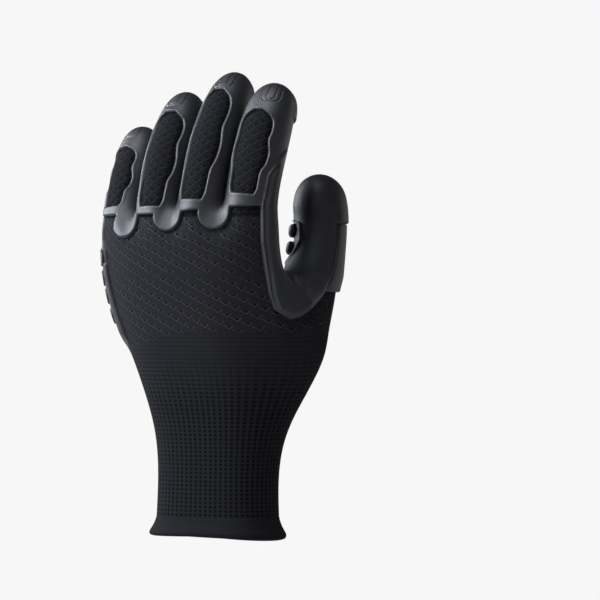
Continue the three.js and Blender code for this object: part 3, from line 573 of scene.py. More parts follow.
class Sheet:
    """A surface of flat faces with values at its points, which can be split along a line of any of them."""

    SNAP = 0.06
    FIRST_FIELD = 6  # the place and the way out come first in a row

    def __init__(self, points, normals, faces, fields):
        self.names = list(fields)
        self.rows = list(np.column_stack([points, normals, *fields.values()]))
        self.faces = faces

    def column(self, name):
        return self.FIRST_FIELD + self.names.index(name)

    def split(self, name, *levels):
        for level in levels:
            self.split_at(self.column(name), level)
        return self

    def split_at(self, k, level):
        side = np.array([row[k] for row in self.rows]) - level
        side = np.where(np.abs(side) < self.SNAP, 0, side).tolist()
        made, faces = {}, []
        for face in self.faces:
            values = [side[i] for i in face]
            if min(values) >= 0 or max(values) <= 0:
                faces.append(face)
                continue
            below, above = [], []
            for a, b in zip(face, face[1:] + face[:1]):
                if side[a] <= 0:
                    below.append(a)
                if side[a] >= 0:
                    above.append(a)
                if side[a] * side[b] < 0:
                    cut = self.cut(made, a, b, side)
                    below.append(cut)
                    above.append(cut)
            faces += [part for part in (below, above) if len(part) > 2]
        self.faces = faces

    def cut(self, made, a, b, side):
        key = (min(a, b), max(a, b))
        if key not in made:
            t = side[a] / (side[a] - side[b])
            made[key] = len(self.rows)
            self.rows.append(self.rows[a] * (1 - t) + self.rows[b] * t)
        return made[key]

    def keep(self, name):
        """Leaves only the faces where a field is above zero."""
        k = self.column(name)
        self.split(name, 0)
        self.faces = [face for face in self.faces if sum(self.rows[i][k] for i in face) > 0]
        return self

    def piece(self, name, height, root, crease=None, marks=None):
        """A mesh of the faces left, raised by height, with its edges brought down to its root.

        Each of the marks, a name with a function of the fields, becomes an attribute of the mesh."""
        used, faces = renumbered(self.faces)
        table = np.array([self.rows[i] for i in used])
        fields = {key: table[:, self.column(key)] for key in self.names}
        low, out = table[:, :3], table[:, 3:self.FIRST_FIELD]
        out = out / np.linalg.norm(out, axis=1, keepdims=True)
        points = list(low + out * height(fields)[:, None])
        edges = {(a, b) for face in faces for a, b in zip(face, face[1:] + face[:1])}
        rim = sorted((a, b) for a, b in edges if (b, a) not in edges)
        foot = {}
        for i in sorted({i for edge in rim for i in edge}):
            foot[i] = len(points)
            points.append(low[i] + out[i] * root)
        faces += [[b, a, foot[a], foot[b]] for a, b in rim]
        piece = mesh_object(name, [p * MM for p in points], faces)
        for mark, share in (marks or {}).items():
            shares = np.zeros(len(points))
            shares[:len(used)] = share(fields)
            piece.data.attributes.new(mark, "FLOAT", "POINT").data.foreach_set("value", shares)
        return smooth(piece, crease)


# The liner
LINER_LEVELS = 3
FINE_LEVELS = 4
KNIT_WALL = 1.8
KNIT_CREASE = 60
PUFF = 1.5  # how far the knit stands out of the bare backs of the fingers
PUFF_EASE = (-1.5, 2.5)


def knitted_liner():
    liner = hand_surface("knitted_liner", LINER_LEVELS)
    places, normals = point_arrays(liner)
    number, share, turn, _ = on_fingers(places)
    inside = bare_back(number, share, turn)
    swell = np.where(places[:, 2] > WEB.back, PUFF * smoothstep(inside, *PUFF_EASE), 0)
    liner.data.vertices.foreach_set("co", ((places + normals * swell[:, None]) * MM).ravel())
    apply_modifier(liner, "SOLIDIFY", thickness=KNIT_WALL * MM, offset=-1)
    return smooth(liner, KNIT_CREASE)


# The fine surface that all rubber is laid on
def fine_surface():
    surface = hand_surface("fine_surface", FINE_LEVELS)
    places, normals = point_arrays(surface)
    faces = [list(face.vertices) for face in surface.data.polygons]
    bpy.data.objects.remove(surface)
    return places, normals, faces


places, normals, faces = fine_surface()
coat_tree = BVHTree.FromPolygons([tuple(p) for p in places + normals * COAT_TOP], faces)


def on_coat(start, way):
    """Where a ray meets the coat, and the smooth way out of it there."""
    hit, _, face, _ = coat_tree.ray_cast(start, way)
    corners = [Vector(places[i] + normals[i] * COAT_TOP) for i in faces[face]]
    shares = poly_3d_calc(corners, hit)
    out = Vector((0, 0, 0))
    for i, share in zip(faces[face], shares):
        out += Vector(normals[i]) * share
    return hit, out.normalized()


def rubber_fields():
    number, share, turn, backs = on_fingers(places)
    length = by_finger(number, "length")
    height, from_middle = places[:, 2], from_thumb(places)
    across, seen_across = places @ np.array(PALM_ACROSS), places @ np.array(GUARD_ACROSS)
    palmward = normals @ np.array(PALM_OUT)
    window = -bare_back(number, share, turn)
    on_thumb = THUMB_REACH - from_middle
    from_back, from_below = guard_edges(places)
    on_back = (GUARD_WRAP - palmward) * TURN_REACH
    guard = np.minimum.reduce([from_back, from_below, on_back])
    thumb = np.minimum(height - THUMB_COAT_FROM, on_thumb)
    covered = np.maximum.reduce([over_knuckles(places), on_palm(places, normals), thumb, guard])
    nail_outer, nail_inner = nail_edges(number, share, turn)
    tip_low = (share - TIP_PAD_FROM) * length
    tip_side = -dots(normals, backs) * TURN_REACH
    rib_bed = np.minimum.reduce([
        table_at(RIB_BED, height) - seen_across, height - RIB_BED[0][0], RIB_BED[-1][0] - height,
        on_thumb, on_back,
    ])
    panel = np.minimum.reduce([
        height - PANEL_BOTTOM, PANEL_TOP - height, across - PANEL_ACROSS, palmward * TURN_REACH, on_thumb,
    ])
    return {
        "coat": np.minimum(covered, window),
        "window": window,
        "guard": guard,
        "guard_back": from_back,
        "guard_edge": np.minimum(from_back, from_below),
        "palmward": palmward,
        "height": height,
        "from_thumb": from_middle,
        "nail_outer": nail_outer,
        "nail_inner": nail_inner,
        "cap": np.minimum(height - THUMB_CAP_FROM, on_thumb),
        "panel": panel,
        "rib_bed": rib_bed,
        "across": across,
        "tip": np.where(height > WEB.palm, np.minimum(tip_low, tip_side), -1),
        "tip_low": tip_low,
        "tip_side": tip_side,
        "finger": number.astype(float),
    }


fields = rubber_fields()
SHEET_REACH = 1.5


def sheet_of(name):
    """The faces where a field comes near to zero or is above it, with all fields."""
    near = fields[name] > -SHEET_REACH
    return Sheet(places, normals, [face for face in faces if any(near[i] for i in face)], fields)


# The coat, with the guard that is one moulding with it
COAT_EDGE = 0.8
EDGE_LINES = (0.1, 0.35, COAT_EDGE)
COAT_FOOT = 0.9
COAT_ROOT = -0.2
FADE_HEIGHT, FADE_ACROSS = (-114, -104), (28, 36)  # where the coat thins out towards its lower edge
FADE_FOOT = 0.1
FADE_WIDTH = 9
LIP = 0.2  # how far the rim of a bare back stands above the coat
LIP_AT, LIP_HALF, LIP_EASE = 1, 0.7, (0.2, 0.8)
GROOVE = 0.45
GROOVE_LINES = (-0.5, 0, 0.5)
BED_RIM = 0.9
BED_RIM_HALF = 0.7
BED_DEPTH = 1.1
BED_EASE = (0.6, 1.6)
BED_LINES = (-1, -0.4, 0, 0.4, 1, 1.6)
GUARD_SWELL = 2.2
GUARD_EASE = (0.6, 3.6)
GUARD_LINES = (0.4, 0.9, 1.4, 2.2, 3, 4)
GUARD_OFF_THUMB, GUARD_BELOW_THUMB = (17, 25), (-147, -127)
GUARD_FACING = (-0.35, 0.15)
GUARD_TONE = (0.2, 1.2)
BEAD = 0.9  # along the guard's back edge
BEAD_AT, BEAD_HALF, BEAD_FROM = 0.9, 0.5, (122, 135)


def facing_back(field):
    return smoothstep(-field["palmward"], *GUARD_FACING)


def coat_height(field):
    fade = smoothstep(-field["height"], *FADE_HEIGHT) * smoothstep(-field["across"], *FADE_ACROSS)
    foot = COAT_FOOT * (1 - fade) + FADE_FOOT * fade
    firm, thin = quarter_round(field["coat"], COAT_EDGE), smoothstep(field["coat"], 0, FADE_WIDTH)
    height = foot + (COAT_TOP - foot) * (firm * (1 - fade) + thin * fade)
    height += LIP * bulge(field["window"], LIP_AT, LIP_HALF) * smoothstep(field["coat"], *LIP_EASE)
    for nail in ("nail_outer", "nail_inner"):
        height -= GROOVE * np.clip(1 - np.abs(field[nail]) / GROOVE_LINES[-1], 0, 1)
    bed = field["rib_bed"]
    height += BED_RIM * bulge(bed, 0, BED_RIM_HALF) - BED_DEPTH * smoothstep(bed, *BED_EASE)
    below = smoothstep(-field["height"], *GUARD_BELOW_THUMB)
    off_thumb = np.maximum(smoothstep(field["from_thumb"], *GUARD_OFF_THUMB), below)
    bead = BEAD * bulge(field["guard_back"], BEAD_AT, BEAD_HALF) * smoothstep(field["height"], *BEAD_FROM)
    swell = GUARD_SWELL * smoothstep(field["guard_edge"], *GUARD_EASE) * facing_back(field)
    return height + np.where(field["guard"] > 0, (bead + swell) * off_thumb, 0)


def guard_share(field):
    share = smoothstep(field["guard_edge"], *GUARD_TONE) * facing_back(field)
    return np.where(field["guard"] > 0, share, 0)


def rubber_coat():
    sheet = sheet_of("coat").keep("coat").split("coat", *EDGE_LINES)
    sheet.split("nail_outer", *GROOVE_LINES).split("nail_inner", *GROOVE_LINES)
    sheet.split("guard_edge", *GUARD_LINES).split("rib_bed", *BED_LINES)
    return sheet.piece("moulded_coat", coat_height, COAT_ROOT, marks={"guard": guard_share})


# The mouldings on the coat
MOULDING_CREASE = 50
MOULDING_ROOT = COAT_TOP - 0.4
CAP_EDGE = 1.3
CAP_LINES = (0.1, 0.35, 0.75, CAP_EDGE)
CAP_FOOT = 0.03
CAP_PROUD = 0.6
CAP_RISE = 16
CAP_FACING = (-0.4, 0.1)
PANEL_EDGE = 0.7
PANEL_LINES = (0.1, 0.3, PANEL_EDGE)
PANEL_FOOT = 0.3
PANEL_FOOT_BELOW = 0.2  # the share of the foot that is left at its bottom
PANEL_RISE = 9  # how far up from its bottom it stands free of the coat


def cap_height(field):
    """Proud at its lower edge on the thumb's palm side, flush with the coat on its back."""
    proud = smoothstep(field["palmward"], *CAP_FACING)
    foot = CAP_FOOT + CAP_PROUD * proud
    firm, thin = quarter_round(field["cap"], CAP_EDGE), smoothstep(field["cap"], 0, CAP_RISE)
    return COAT_TOP + foot + (CAP_TOP - COAT_TOP - foot) * (firm * proud + thin * (1 - proud))


def panel_height(field):
    free = smoothstep(field["height"], PANEL_BOTTOM, PANEL_BOTTOM + PANEL_RISE)
    foot = PANEL_FOOT * (PANEL_FOOT_BELOW + (1 - PANEL_FOOT_BELOW) * free)
    top = PANEL_HEIGHT - COAT_TOP - foot
    return COAT_TOP + foot + top * free * quarter_round(field["panel"], PANEL_EDGE)


def thumb_moulding(name, field, lines, height):
    sheet = sheet_of(field).keep(field).split(field, *lines)
    return sheet.piece(name, height, MOULDING_ROOT, MOULDING_CREASE)


TIP_EDGE = 2
TIP_SIDE = 10
TIP_FOOT = 0.1
TIP_LINES = (0.15, 0.5, 1.1, TIP_EDGE)
TIP_SIDE_LINE = 0.4
TIP_ROOT = COAT_TOP - 0.5


def tip_height(field):
    dome = quarter_round(field["tip_low"], TIP_EDGE) * smoothstep(field["tip_side"], 0, TIP_SIDE)
    return COAT_TOP + TIP_FOOT + (TIP_PAD_TOP - COAT_TOP - TIP_FOOT) * dome


def tip_pad(number):
    sheet = sheet_of("tip")
    k = sheet.column("finger")
    sheet.faces = [face for face in sheet.faces if all(sheet.rows[i][k] == number for i in face)]
    sheet.keep("tip").split("tip_low", *TIP_LINES).split("tip_side", TIP_SIDE_LINE)
    name = f"moulded_{FINGERS[number].name}_tip_pad"
    return sheet.piece(name, tip_height, TIP_ROOT, MOULDING_CREASE)


# The hem
HEM_POINTS = 124
HEM_PROFILE = [  # height, and how far out of the wrist's outline
    (11, 0.02), (10.2, 0.16), (9.3, 0.4), (8, 0.9), (6.4, 1.6), (4.8, 2.5), (3.4, 3.4), (2.2, 3.9),
    (1, 3.8), (0.3, 3.1), (0, 2), (0.3, 0.8), (1.2, -0.2), (3, -0.9), (6, -1.6), (9, -1.8),
]
HEM_WAVE = ((-36, 0.4), (-5, 1), (15, 0.4), (37, -1.4))  # by place across: how much higher the edge lies
RING_SLACK = 0.01


def wrist_outline(angle):
    """The place on the knit's lowest ring in a way from its middle, and the way out of it there."""
    return [np.interp(angle, wrist[:, 0], wrist[:, column], period=2 * pi) for column in range(1, 5)]


def lowest_ring():
    low = places[:, 2] < HAND_SECTIONS[0].z + RING_SLACK
    x, y = places[low, 0], places[low, 1]
    out = normals[low, :2] / np.linalg.norm(normals[low, :2], axis=1, keepdims=True)
    ring = np.column_stack([np.arctan2(y, x), x, y, out])
    return ring[ring[:, 0].argsort()]


wrist = lowest_ring()


def cuff_hem():
    """A circle is extruded for each row of the profile, and each row is drawn to the wrist's outline."""
    bpy.ops.mesh.primitive_circle_add(vertices=HEM_POINTS, radius=1)
    hem = named(bpy.context.object, "rolled_hem")
    bpy.ops.object.mode_set(mode="EDIT")
    for _ in HEM_PROFILE[1:]:
        bpy.ops.mesh.extrude_region_move(TRANSFORM_OT_translate={"value": (0, 0, -1)})
    bpy.ops.mesh.select_all(action="DESELECT")
    bpy.ops.mesh.select_mode(type="EDGE")
    bpy.ops.mesh.select_non_manifold()
    bpy.ops.mesh.bridge_edge_loops()
    bpy.ops.object.mode_set(mode="OBJECT")
    for vertex in hem.data.vertices:
        height, stand = HEM_PROFILE[round(-vertex.co.z)]
        x, y, out_x, out_y = wrist_outline(atan2(vertex.co.y, vertex.co.x))
        height += table_at(HEM_WAVE, x) * (1 - height / HEM_PROFILE[0][0])
        vertex.co = Vector((x + out_x * stand, y + out_y * stand, height)) * MM
    face_outward(hem)
    return smooth(hem)


# Ribs and pads. Each kind is modelled once, flat and with round ends, and its copies are stretched to their
# length and laid on the coat.
BLANK_HALF = 20
BLANK_WIDTH = 4.2
BLANK_ROOT = -0.4
CORNER_STEPS = 7
CORNER_SHARE = 0.96
STRAIGHT_CUTS = 15
UPRIGHT = 0.5
LEVEL_FACE = 0.9
PAD_CREASE = 40
Rise = namedtuple("Rise", "inward up")
BAR_TOP = [Rise(0.15, 0.38), Rise(0.3, 0.25), Rise(0.45, 0.02), Rise(0.25, -0.22), Rise(0.2, -0.08)]
LEAF_TOP = [Rise(0.2, 0.5), Rise(0.4, 0.42), Rise(0.6, 0.28), Rise(0.9, 0.15), Rise(1, 0.05)]
PILLOW_TOP = [Rise(0.2, 0.42), Rise(0.35, 0.36), Rise(0.6, 0.24), Rise(0.9, 0.1), Rise(0.9, -0.04)]
OVAL_TOP = [Rise(0.25, 0.7), Rise(0.45, 0.6), Rise(0.7, 0.5), Rise(1, 0.35), Rise(1.1, 0.12)]
BAR_WALL, LEAF_WALL, PILLOW_WALL, OVAL_WALL = 1.6, 0.9, 1.2, 0.6


def select_where(piece, kind, chosen):
    """Selects the faces or the edges that are chosen by their place or normal, and nothing else."""
    bpy.ops.mesh.select_all(action="DESELECT")
    bpy.ops.mesh.select_mode(type=kind)
    mesh = bmesh.from_edit_mesh(piece.data)
    for item in mesh.faces if kind == "FACE" else mesh.edges:
        item.select_set(chosen(item))
    bmesh.update_edit_mesh(piece.data)


def is_upright(edge):
    return abs(edge.verts[0].co.z - edge.verts[1].co.z) > UPRIGHT


def looks_up(face):
    return face.normal.z > LEVEL_FACE


def pad_blank(name, wall, top):
    """A cube with its upright edges rounded off to half circles and its top inset step by step."""
    height = wall - BLANK_ROOT
    bpy.ops.mesh.primitive_cube_add(size=1, location=(0, 0, BLANK_ROOT + height / 2))
    pad = named(bpy.context.object, name)
    pad.scale = (2 * BLANK_HALF, 2 * BLANK_WIDTH, height)
    bpy.ops.object.transform_apply(location=True, rotation=False, scale=True)
    bpy.ops.object.mode_set(mode="EDIT")
    select_where(pad, "EDGE", is_upright)
    bpy.ops.mesh.bevel(offset=CORNER_SHARE * BLANK_WIDTH, segments=CORNER_STEPS, affect="EDGES")
    select_where(pad, "FACE", looks_up)
    for rise in top:
        bpy.ops.mesh.inset(thickness=rise.inward, depth=rise.up)
    straight = BLANK_HALF - BLANK_WIDTH
    for place in np.linspace(-straight, straight, STRAIGHT_CUTS):
        bpy.ops.mesh.select_all(action="SELECT")
        bpy.ops.mesh.bisect(plane_co=(place, 0, 0), plane_no=(1, 0, 0))
    bpy.ops.mesh.select_all(action="SELECT")
    bpy.ops.mesh.bisect(plane_co=(0, 0, 0), plane_no=(0, 1, 0))
    bpy.ops.mesh.select_all(action="DESELECT")
    bpy.ops.object.mode_set(mode="OBJECT")
    return pad


def laid_pad(blank, node, half, width, ray_at):
    pad = named(linked(node, blank.data.copy()), f"moulded_{node}")
    narrow = width / BLANK_WIDTH
    for vertex in pad.data.vertices:
        along, across, height = vertex.co
        ends = np.interp(abs(along), (0, BLANK_HALF - BLANK_WIDTH, BLANK_HALF), (0, half - width, half))
        start, way, rise = ray_at(copysign(ends, along), across * narrow)
        hit, out = on_coat(start, way)
        vertex.co = (hit + out * height * rise) * MM
    return node, smooth(pad, PAD_CREASE)


PalmPad = namedtuple("PalmPad", "across z half width tilt wrap", defaults=[0])
BAR_WIDTH = 4.3
SIDE_WRAP = 33  # how far a pad runs on round the little finger's side
PALM_PADS = [
    PalmPad(-18.5, 162.5, 24, BAR_WIDTH, -2),
    PalmPad(13, 161.5, 5.2, 4, 0),
    PalmPad(-22.5, 152, 25, BAR_WIDTH, -1, SIDE_WRAP),
    PalmPad(12, 151.5, 8, BAR_WIDTH, -8),
    PalmPad(-30.5, 140.5, 18, BAR_WIDTH, -3, SIDE_WRAP),
    PalmPad(2, 138.5, 12, BAR_WIDTH, -6),
    PalmPad(-37, 130, 10.5, BAR_WIDTH, -5, SIDE_WRAP),
    PalmPad(-5.5, 126.5, 16.5, BAR_WIDTH, -8),
    PalmPad(-37.5, 119, 8.5, BAR_WIDTH, -6, SIDE_WRAP),
    PalmPad(-11.5, 115, 13.5, BAR_WIDTH, -8),
    PalmPad(-18.8, 102.5, 13.2, BAR_WIDTH, -8),
    PalmPad(-25, 92.5, 12, BAR_WIDTH, -5),
]
THENAR_PADS = [
    PalmPad(20.5, 164.5, 4.4, 3.9, 0),
    PalmPad(20.5, 153.5, 4.6, 4, 0),
    PalmPad(18, 143, 4.8, 4, 0),
    PalmPad(19, 133, 5.5, 4.2, -4),
    PalmPad(20, 123, 6.5, 4.2, -8),
    PalmPad(18, 112.5, 7.8, 4.2, -18),
    PalmPad(13, 103.5, 9, 4.3, -32),
    PalmPad(5, 95.5, 9.5, 4.3, -42),
    PalmPad(-3.5, 89.5, 7.5, 4, -50),
]
WEB_PADS = [PalmPad(-16, 171, 6, 3.7, 0), PalmPad(7.5, 173.5, 7.5, 3.9, 0)]
OUTSIDE = 120
BEHIND_THUMB = 22
PAD_RAY = 12
SIDE_ROUND = 15  # the radius that a pad's wrapped end is laid round
SIDE_FALL = 0.6  # how much lower a pad is there
SIDE_LIFT = 8  # and how much further up it lies there


def palm_pad(blank, node, pad, start):
    from_here = PALM_ACROSS * pad.across + PALM_OUT * start + Vector((0, 0, pad.z))
    middle, out = on_coat(from_here, -PALM_OUT)
    tilt = radians(pad.tilt)
    along = PALM_ACROSS * cos(tilt) + Vector((0, 0, sin(tilt)))
    along = (along - out * along.dot(out)).normalized()
    square = out.cross(along)

    def ray_at(u, v):
        u -= pad.wrap / 2
        turn = max(0, -pad.half - u) / SIDE_ROUND
        way = out * cos(turn) - along * sin(turn)
        pivot = middle - out * SIDE_ROUND + along * max(u, -pad.half)
        pivot.z += SIDE_LIFT * min(1, turn)
        return pivot + way * (SIDE_ROUND + PAD_RAY) + square * v, -way, 1 - SIDE_FALL * min(1, turn)

    return laid_pad(blank, node, pad.half + pad.wrap / 2, pad.width, ray_at)


RIB_WIDTH = 3.8
RIB_TURN = radians(50)
RIB_PITCH = 10.4
RIB_FROM = 0.7
RIB_RAY = 1.3


def finger_rib(blank, finger, i):
    share = RIB_FROM - (finger.ribs - 1 - i) * RIB_PITCH / finger.length
    middle, up, back, side = finger_frame(finger, share)
    radius = finger.half_depth + COAT_TOP

    def ray_at(u, v):
        turn = u / radius + radians(finger.rib_turn)
        way = -back * cos(turn) - side * sin(turn)
        return middle + up * v + way * RIB_RAY * radius, -way, 1

    return laid_pad(blank, f"{finger.name}_rib_{i + 1}", RIB_TURN * radius, RIB_WIDTH, ray_at)


THUMB_RIBS = (158.7, 168.3)
THUMB_RIB_HALF = 6.5
THUMB_RIB_RISE = 0.85


def thumb_rib(blank, number, z):
    x, y = (np.interp(z, THUMB_LINE[:, 2], THUMB_LINE[:, axis]) for axis in (0, 1))
    across = Vector((-THUMB_PAD_SIDE.y, THUMB_PAD_SIDE.x, 0))
    start = Vector((x, y, z)) + THUMB_PAD_SIDE * 2 * RIB_PITCH

    def ray_at(u, v):
        return start + across * u + Vector((0, 0, v)), -THUMB_PAD_SIDE, THUMB_RIB_RISE

    return laid_pad(blank, f"thumb_rib_{number}", THUMB_RIB_HALF, RIB_WIDTH, ray_at)


def ribs_and_pads():
    bar = pad_blank("palm_bar", BAR_WALL, BAR_TOP)
    leaf = pad_blank("thenar_leaf", LEAF_WALL, LEAF_TOP)
    pillow = pad_blank("finger_pillow", PILLOW_WALL, PILLOW_TOP)
    oval = pad_blank("thumb_oval", OVAL_WALL, OVAL_TOP)
    made = [finger_rib(pillow, finger, i) for finger in FINGERS for i in range(finger.ribs)]
    made += [thumb_rib(oval, i + 1, z) for i, z in enumerate(THUMB_RIBS)]
    for kind, blank, start, pads in (
        ("palm_pad", bar, BEHIND_THUMB, PALM_PADS),
        ("thenar_pad", leaf, OUTSIDE, THENAR_PADS),
        ("web_pad", bar, BEHIND_THUMB, WEB_PADS),
    ):
        made += [palm_pad(blank, f"{kind}_{i + 1}", pad, start) for i, pad in enumerate(pads)]
    for blank in (bar, leaf, pillow, oval):
        bpy.data.objects.remove(blank)
    return made


# Materials
def operator(operation, turned=False):
    """A method that works on a value and another one, or on the two turned round."""
    def work(self, other):
        return self.nodes.maths(operation, *((other, self) if turned else (self, other)))

    return work


class Value:
    """A socket of a node, with arithmetic that adds more nodes."""

    __add__, __radd__ = operator("ADD"), operator("ADD", True)
    __sub__, __rsub__ = operator("SUBTRACT"), operator("SUBTRACT", True)
    __mul__, __rmul__ = operator("MULTIPLY"), operator("MULTIPLY", True)
    __truediv__, __pow__ = operator("DIVIDE"), operator("POWER")

    def __init__(self, nodes, socket):
        self.nodes, self.socket = nodes, socket

    def __abs__(self):
        return self.nodes.maths("ABSOLUTE", self)

    def fraction(self):
        return self.nodes.maths("FRACT", self)

    def wave(self, pitch):
        """A sine wave between 0 and 1."""
        return self.nodes.maths("SINE", self * (2 * pi / pitch)) / 2 + 0.5

    def step(self, low, high):
        """0 below low and 1 above high, with a soft change between them."""
        sockets = {"Value": self, "From Min": low, "From Max": high}
        return self.nodes.node("ShaderNodeMapRange", {"interpolation_type": "SMOOTHSTEP"}, sockets)

    def band(self, low, high, soft):
        """1 between low and high."""
        return self.step(low - soft, low + soft) * (1 - self.step(high - soft, high + soft))


NOISE_DETAIL = 2
FIRST_COLOUR, SECOND_COLOUR, MIXED_COLOUR = 6, 7, 2  # the numbers of a mix node's colour sockets


class Nodes:
    """A tree whose nodes are added by expressions."""

    def __init__(self, tree):
        self.tree = tree

    def node(self, kind, settings, sockets, out=0):
        node = self.tree.nodes.new(kind)
        for key, value in settings.items():
            setattr(node, key, value)
        for key, value in sockets.items():
            if isinstance(value, Value):
                self.tree.links.new(value.socket, node.inputs[key])
            else:
                node.inputs[key].default_value = value
        return Value(self, node.outputs[out])

    def maths(self, operation, *values):
        return self.node("ShaderNodeMath", {"operation": operation}, dict(enumerate(values)))


class Finish(Nodes):
    """A material and its nodes."""

    def __init__(self, name):
        self.material = bpy.data.materials.new(name)
        self.material.use_nodes = True
        super().__init__(self.material.node_tree)
        self.tree.nodes.clear()

    def place(self):
        """The place on the piece, in millimetres along X, Y and Z."""
        here = self.node("ShaderNodeTexCoord", {}, {}, "Object")
        return [self.node("ShaderNodeSeparateXYZ", {}, {0: here}, axis) / MM for axis in "XYZ"]

    def wales(self):
        here = self.node("ShaderNodeUVMap", {"uv_map": "wales"}, {})
        return [self.node("ShaderNodeSeparateXYZ", {}, {0: here}, axis) for axis in "XY"]

    def attribute(self, name):
        return self.node("ShaderNodeAttribute", {"attribute_name": name}, {}, "Fac")

    def noise(self, size):
        """Noise whose grains are about a size in millimetres."""
        here = self.node("ShaderNodeTexCoord", {}, {}, "Object")
        sockets = {"Vector": here, "Scale": 1 / (size * MM), "Detail": NOISE_DETAIL}
        return self.node("ShaderNodeTexNoise", {}, sockets)

    def mix(self, share, first, second):
        """A colour between two colours."""
        sockets = {"Factor": share, FIRST_COLOUR: first, SECOND_COLOUR: second}
        return self.node("ShaderNodeMix", {"data_type": "RGBA"}, sockets, MIXED_COLOUR)

    def bump(self, height, depth):
        return self.node("ShaderNodeBump", {}, {"Height": height, "Distance": depth * MM, "Strength": 1})

    def surface(self, colour, roughness, normal, shine):
        shader = self.node("ShaderNodeBsdfPrincipled", {}, {
            "Base Color": colour, "Roughness": roughness, "Normal": normal, "Specular IOR Level": shine,
        })
        output = self.tree.nodes.new("ShaderNodeOutputMaterial")
        self.tree.links.new(shader.socket, output.inputs["Surface"])
        return self.material


BLUE_CAST = 1.1


def grey(value, blue=BLUE_CAST):
    return (value, value, value * blue, 1)


Band = namedtuple("Band", "low high soft")

# The cuff's rows of square holes, which grow shallow towards the hand. Their half sizes are in shares of a
# wale and of the pitch.
HOLE_PITCH = 2.3
HOLE_HALF_WIDTH, HOLE_HALF_HEIGHT = 0.24, 0.27
HOLE_SQUARENESS = 4
HOLE_EDGE = (0.5, 1.5)
HOLE_DEPTH = 1.6
HOLES_FADE = (66, 106)
ROWS_FROM = (68, 88)

# The scales: each is a V of light stitches, with a notch over its corner, painted dark as shade in its
# hollow, and bowed stitches above it.
# A wale is a scale's width, the slopes and the reach are those of the V's arms, and the shares of the pitch
# that the pattern runs on below a corner are given for its two ways up.
Scale = namedtuple(
    "Scale",
    "pitch wale slant slope left_slope reach rise_below fall_below notch_x notch_y notch_depth lightness",
)
BACK_SCALE = Scale(6.4, 3.9, 0.8, 1, 0.8, 2, 0.35, 0.25, 0, 0.95, 1, 1)
WINDOW_SCALE = Scale(4.8, 3, 0, 0.7, 1.2, 3, 0.15, 0.5, 0.5, 1.25, 0.5, 0.4)
WINDOWS_FROM = (175, 177)
SCALES_FROM = (110, 116)  # the scales start here, and lower on the little finger's side
SCALES_DROP = 13
HAND_HALF = 45
PLAIN_BAND = Band(142, 145, 0.6)
ARMS_LEFT = 0.2  # the share of the V that is seen in the plain band
ARM_EDGE = (0.1, 0.38)
RIGHT_END, LEFT_END = (0.8, 1), (2.2, 3)
NOTCH_HALF_WIDTH, NOTCH_HALF_HEIGHT = 0.85, 0.42
NOTCH_EDGE = (0.5, 1.3)
NOTCH_BEND = 0.5
HATCH_PITCH = 1
HATCH_BOW = 0.12
Stitches = namedtuple("Stitches", "arms hatch rows")
STITCH_RELIEF = Stitches(0.5, 0.35, 0.08)
STITCH_LIGHT = Stitches(0.55, 0.14, 0.06)
KNIT_FUZZ = 0.15
KNIT_FUZZ_SIZE = 0.35
KNIT_DEPTH = 0.45
KNIT_HOLLOW_SHADE = 0.0015
KNIT_SHADE = 0.009
KNIT_WINDOW_SHADE = 0.005
KNIT_LIGHT = 0.06
HOLLOW_SHADE_SHARE = 0.9
CLOTH_ROUGH = 0.9
CLOTH_SHINE = 0.03


